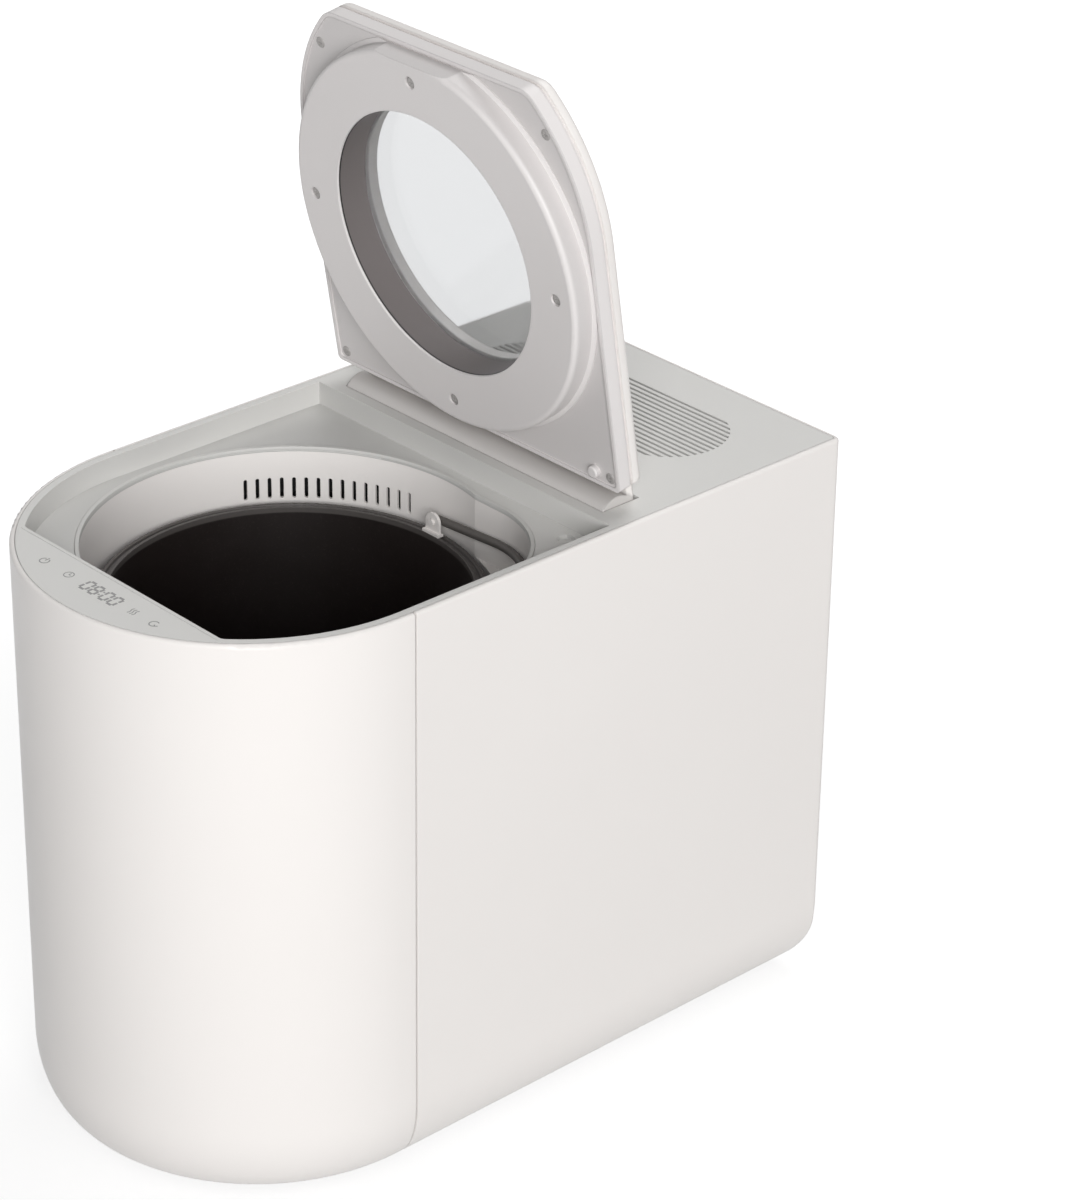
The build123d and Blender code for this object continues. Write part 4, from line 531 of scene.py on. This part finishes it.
def stroke(bm, points, width, closed=False):
    """Printed line through points, in millimetres on the panel."""
    count = len(points)
    rows = []
    for i, (x, y) in enumerate(points):
        before = points[(i - 1) % count] if closed or i else points[i]
        after = points[(i + 1) % count] if closed or i < count - 1 else points[i]
        along = Vector((after[0] - before[0], after[1] - before[1])).normalized()
        side = Vector((-along.y, along.x)) * width / 2
        rows.append([
            bm.verts.new(((x + sign * side.x) * MM, (y + sign * side.y) * MM, DECK_Z + lift))
            for sign, lift in ((-1, FILM_LIFT / 2), (1, FILM_LIFT / 2), (1, PRINT_LIFT), (-1, PRINT_LIFT))
        ])
    skin(bm, rows, around=True, along=closed)
    if not closed:
        bm.faces.new(rows[0])
        bm.faces.new(rows[-1])


def arc(x, y, radius, start, end, steps=24):
    return [(x + a, y + b) for a, b in circle(radius, steps, math.radians(start), math.radians(end))]


def power_symbol(bm, x, y):
    stroke(bm, arc(x, y, 2.4, 120, 420), 0.6)
    stroke(bm, [(x, y + 0.3), (x, y + 3.1)], 0.6)


def timer_symbol(bm, x, y):
    stroke(bm, arc(x, y, 2.5, 0, 345), 0.5, closed=True)
    stroke(bm, [(x, y + 1.6), (x, y), (x + 1.2, y)], 0.5)


def drying_symbol(bm, x, y):
    for shift in (-1.7, 0, 1.7):
        wave = [(0.5 * math.sin(t * math.pi / 3), 0.8 * t - 2.4) for t in range(7)]
        stroke(bm, [(x + shift + across, y + rise) for across, rise in wave], 0.5)


def cycle_symbol(bm, x, y):
    stroke(bm, arc(x, y, 2.3, 60, 330), 0.6)
    stroke(bm, [(x + 2.9, y - 0.2), (x + 1.9, y - 1.3), (x + 0.8, y - 0.4)], 0.6)


bm = bmesh.new()
power_symbol(bm, -40.0, SYMBOL_Y)
timer_symbol(bm, -21.0, SYMBOL_Y)
drying_symbol(bm, 28.0, SYMBOL_Y)
cycle_symbol(bm, 43.5, SYMBOL_Y)
piece("panel_symbols", bm, print_finish, "base", smooth=False)

DIGIT_SEGMENTS = {"0": "abcdef", "8": "abcdefg"}
DIGIT_WIDTH = 4.2
DIGIT_HEIGHT = 7.6
DIGIT_PITCH = 6.4
DIGIT_STROKE = 1.4
SEGMENT_GAP = 0.45
COLON_ROOM = 0.8
COLON_RISE = 1.6
COLON_DOT = 1.0


def digit(bm, text, x, y):
    """Seven-segment digit about (x, y)."""
    left, right = x - DIGIT_WIDTH / 2, x + DIGIT_WIDTH / 2
    low, high = y - DIGIT_HEIGHT / 2, y + DIGIT_HEIGHT / 2
    gap = SEGMENT_GAP
    segments = {
        "a": [(left + gap, high), (right - gap, high)],
        "b": [(right, y + gap), (right, high - gap)],
        "c": [(right, low + gap), (right, y - gap)],
        "d": [(left + gap, low), (right - gap, low)],
        "e": [(left, low + gap), (left, y - gap)],
        "f": [(left, y + gap), (left, high - gap)],
        "g": [(left + gap, y), (right - gap, y)],
    }
    for letter in DIGIT_SEGMENTS[text]:
        stroke(bm, segments[letter], DIGIT_STROKE)


bm = bmesh.new()
for i, text in enumerate("0800"):
    colon_room = COLON_ROOM if i > 1 else -COLON_ROOM
    digit(bm, text, DISPLAY_X + (i - 1.5) * DIGIT_PITCH + colon_room, SYMBOL_Y)
for rise in (-COLON_RISE, COLON_RISE):
    ends = [(DISPLAY_X + side * COLON_DOT / 2, SYMBOL_Y + rise) for side in (-1, 1)]
    stroke(bm, ends, COLON_DOT)
piece("display_digits", bm, print_finish, "base", smooth=False)

# ---------------------------------------------------------------- camera
camera_data = bpy.data.cameras.new("camera")
camera = bpy.data.objects.new("camera", camera_data)
bpy.context.scene.collection.objects.link(camera)
bpy.context.scene.camera = camera
CAMERA_PLACE = (1.36171466, -1.16577821, 1.19691825)
CAMERA_RIGHT = (0.67658527, 0.73626419, 0.01214145)
CAMERA_UP = (-0.35238405, 0.3092552, 0.88328178)
CAMERA_BACK = (0.64657394, -0.6018939, 0.46868526)
turn = Matrix((CAMERA_RIGHT, CAMERA_UP, CAMERA_BACK)).transposed().to_4x4()
camera.matrix_world = Matrix.Translation(CAMERA_PLACE) @ turn
camera_data.sensor_width = 36.0
camera_data.lens = 122.31
camera_data.clip_start = 0.05
camera_data.clip_end = 60

# ---------------------------------------------------------------- floor, surroundings and light
FLOOR_HALF_SIZE = 8.0
FLOOR_ALBEDO = 0.45
FLOOR_GLOW = 0.70
AMBIENT = 0.20


def seen_directly(n, l):
    """One for camera, glossy and transmission rays, and zero for the rays that light the object."""
    path = n.new("ShaderNodeLightPath")
    first = math_node(n, l, "MAXIMUM", path.outputs["Is Camera Ray"], path.outputs["Is Glossy Ray"])
    return math_node(n, l, "MAXIMUM", first, path.outputs["Is Transmission Ray"])


floor_mesh = bpy.data.meshes.new("floor")
bm = bmesh.new()
bmesh.ops.create_grid(bm, x_segments=1, y_segments=1, size=FLOOR_HALF_SIZE)
bm.to_mesh(floor_mesh)
bm.free()
floor = bpy.data.objects.new("floor", floor_mesh)
bpy.context.scene.collection.objects.link(floor)
floor_material, n, l = new_material("floor_white")
shader = n["Principled BSDF"]
shader.inputs["Base Color"].default_value = (FLOOR_ALBEDO, FLOOR_ALBEDO, FLOOR_ALBEDO, 1)
shader.inputs["Roughness"].default_value = 0.95
shader.inputs["Specular IOR Level"].default_value = 0.0
shader.inputs["Emission Color"].default_value = (1, 1, 1, 1)
away = n.new("ShaderNodeVectorMath")
away.operation = "LENGTH"
l.new(n.new("ShaderNodeNewGeometry").outputs["Position"], away.inputs[0])
glow = ramp(n, l, away.outputs["Value"], 0.30, 1.00, FLOOR_GLOW, 1.0, smooth=True)
l.new(math_node(n, l, "MULTIPLY", glow, seen_directly(n, l)), shader.inputs["Emission Strength"])
floor.data.materials.append(floor_material)

world = bpy.data.worlds.new("world")
bpy.context.scene.world = world
world.use_nodes = True
n, l = world.node_tree.nodes, world.node_tree.links
l.new(ramp(n, l, seen_directly(n, l), 0.0, 1.0, AMBIENT, 1.0), n["Background"].inputs["Strength"])
n["Background"].inputs["Color"].default_value = (1, 1, 1, 1)


def area_light(name, azimuth, elevation, distance, size, power):
    """Soft square light that looks at the object; azimuth in degrees from +X, turning towards +Y."""
    target = Vector((0, 0, 0.25))
    turn, rise = math.radians(azimuth), math.radians(elevation)
    direction = Vector((math.cos(turn) * math.cos(rise), math.sin(turn) * math.cos(rise), math.sin(rise)))
    data = bpy.data.lights.new(name, "AREA")
    data.shape = "SQUARE"
    data.size = size
    data.energy = power
    light = bpy.data.objects.new(name, data)
    bpy.context.scene.collection.objects.link(light)
    light.location = target + distance * direction
    light.rotation_mode = "QUATERNION"
    light.rotation_quaternion = (-direction).to_track_quat("-Z", "Y")


area_light("key", -36, 18, 5.0, 2.6, 218)
area_light("top", 110, 60, 3.0, 1.8, 29)

bpy.context.scene.view_settings.view_transform = "Standard"
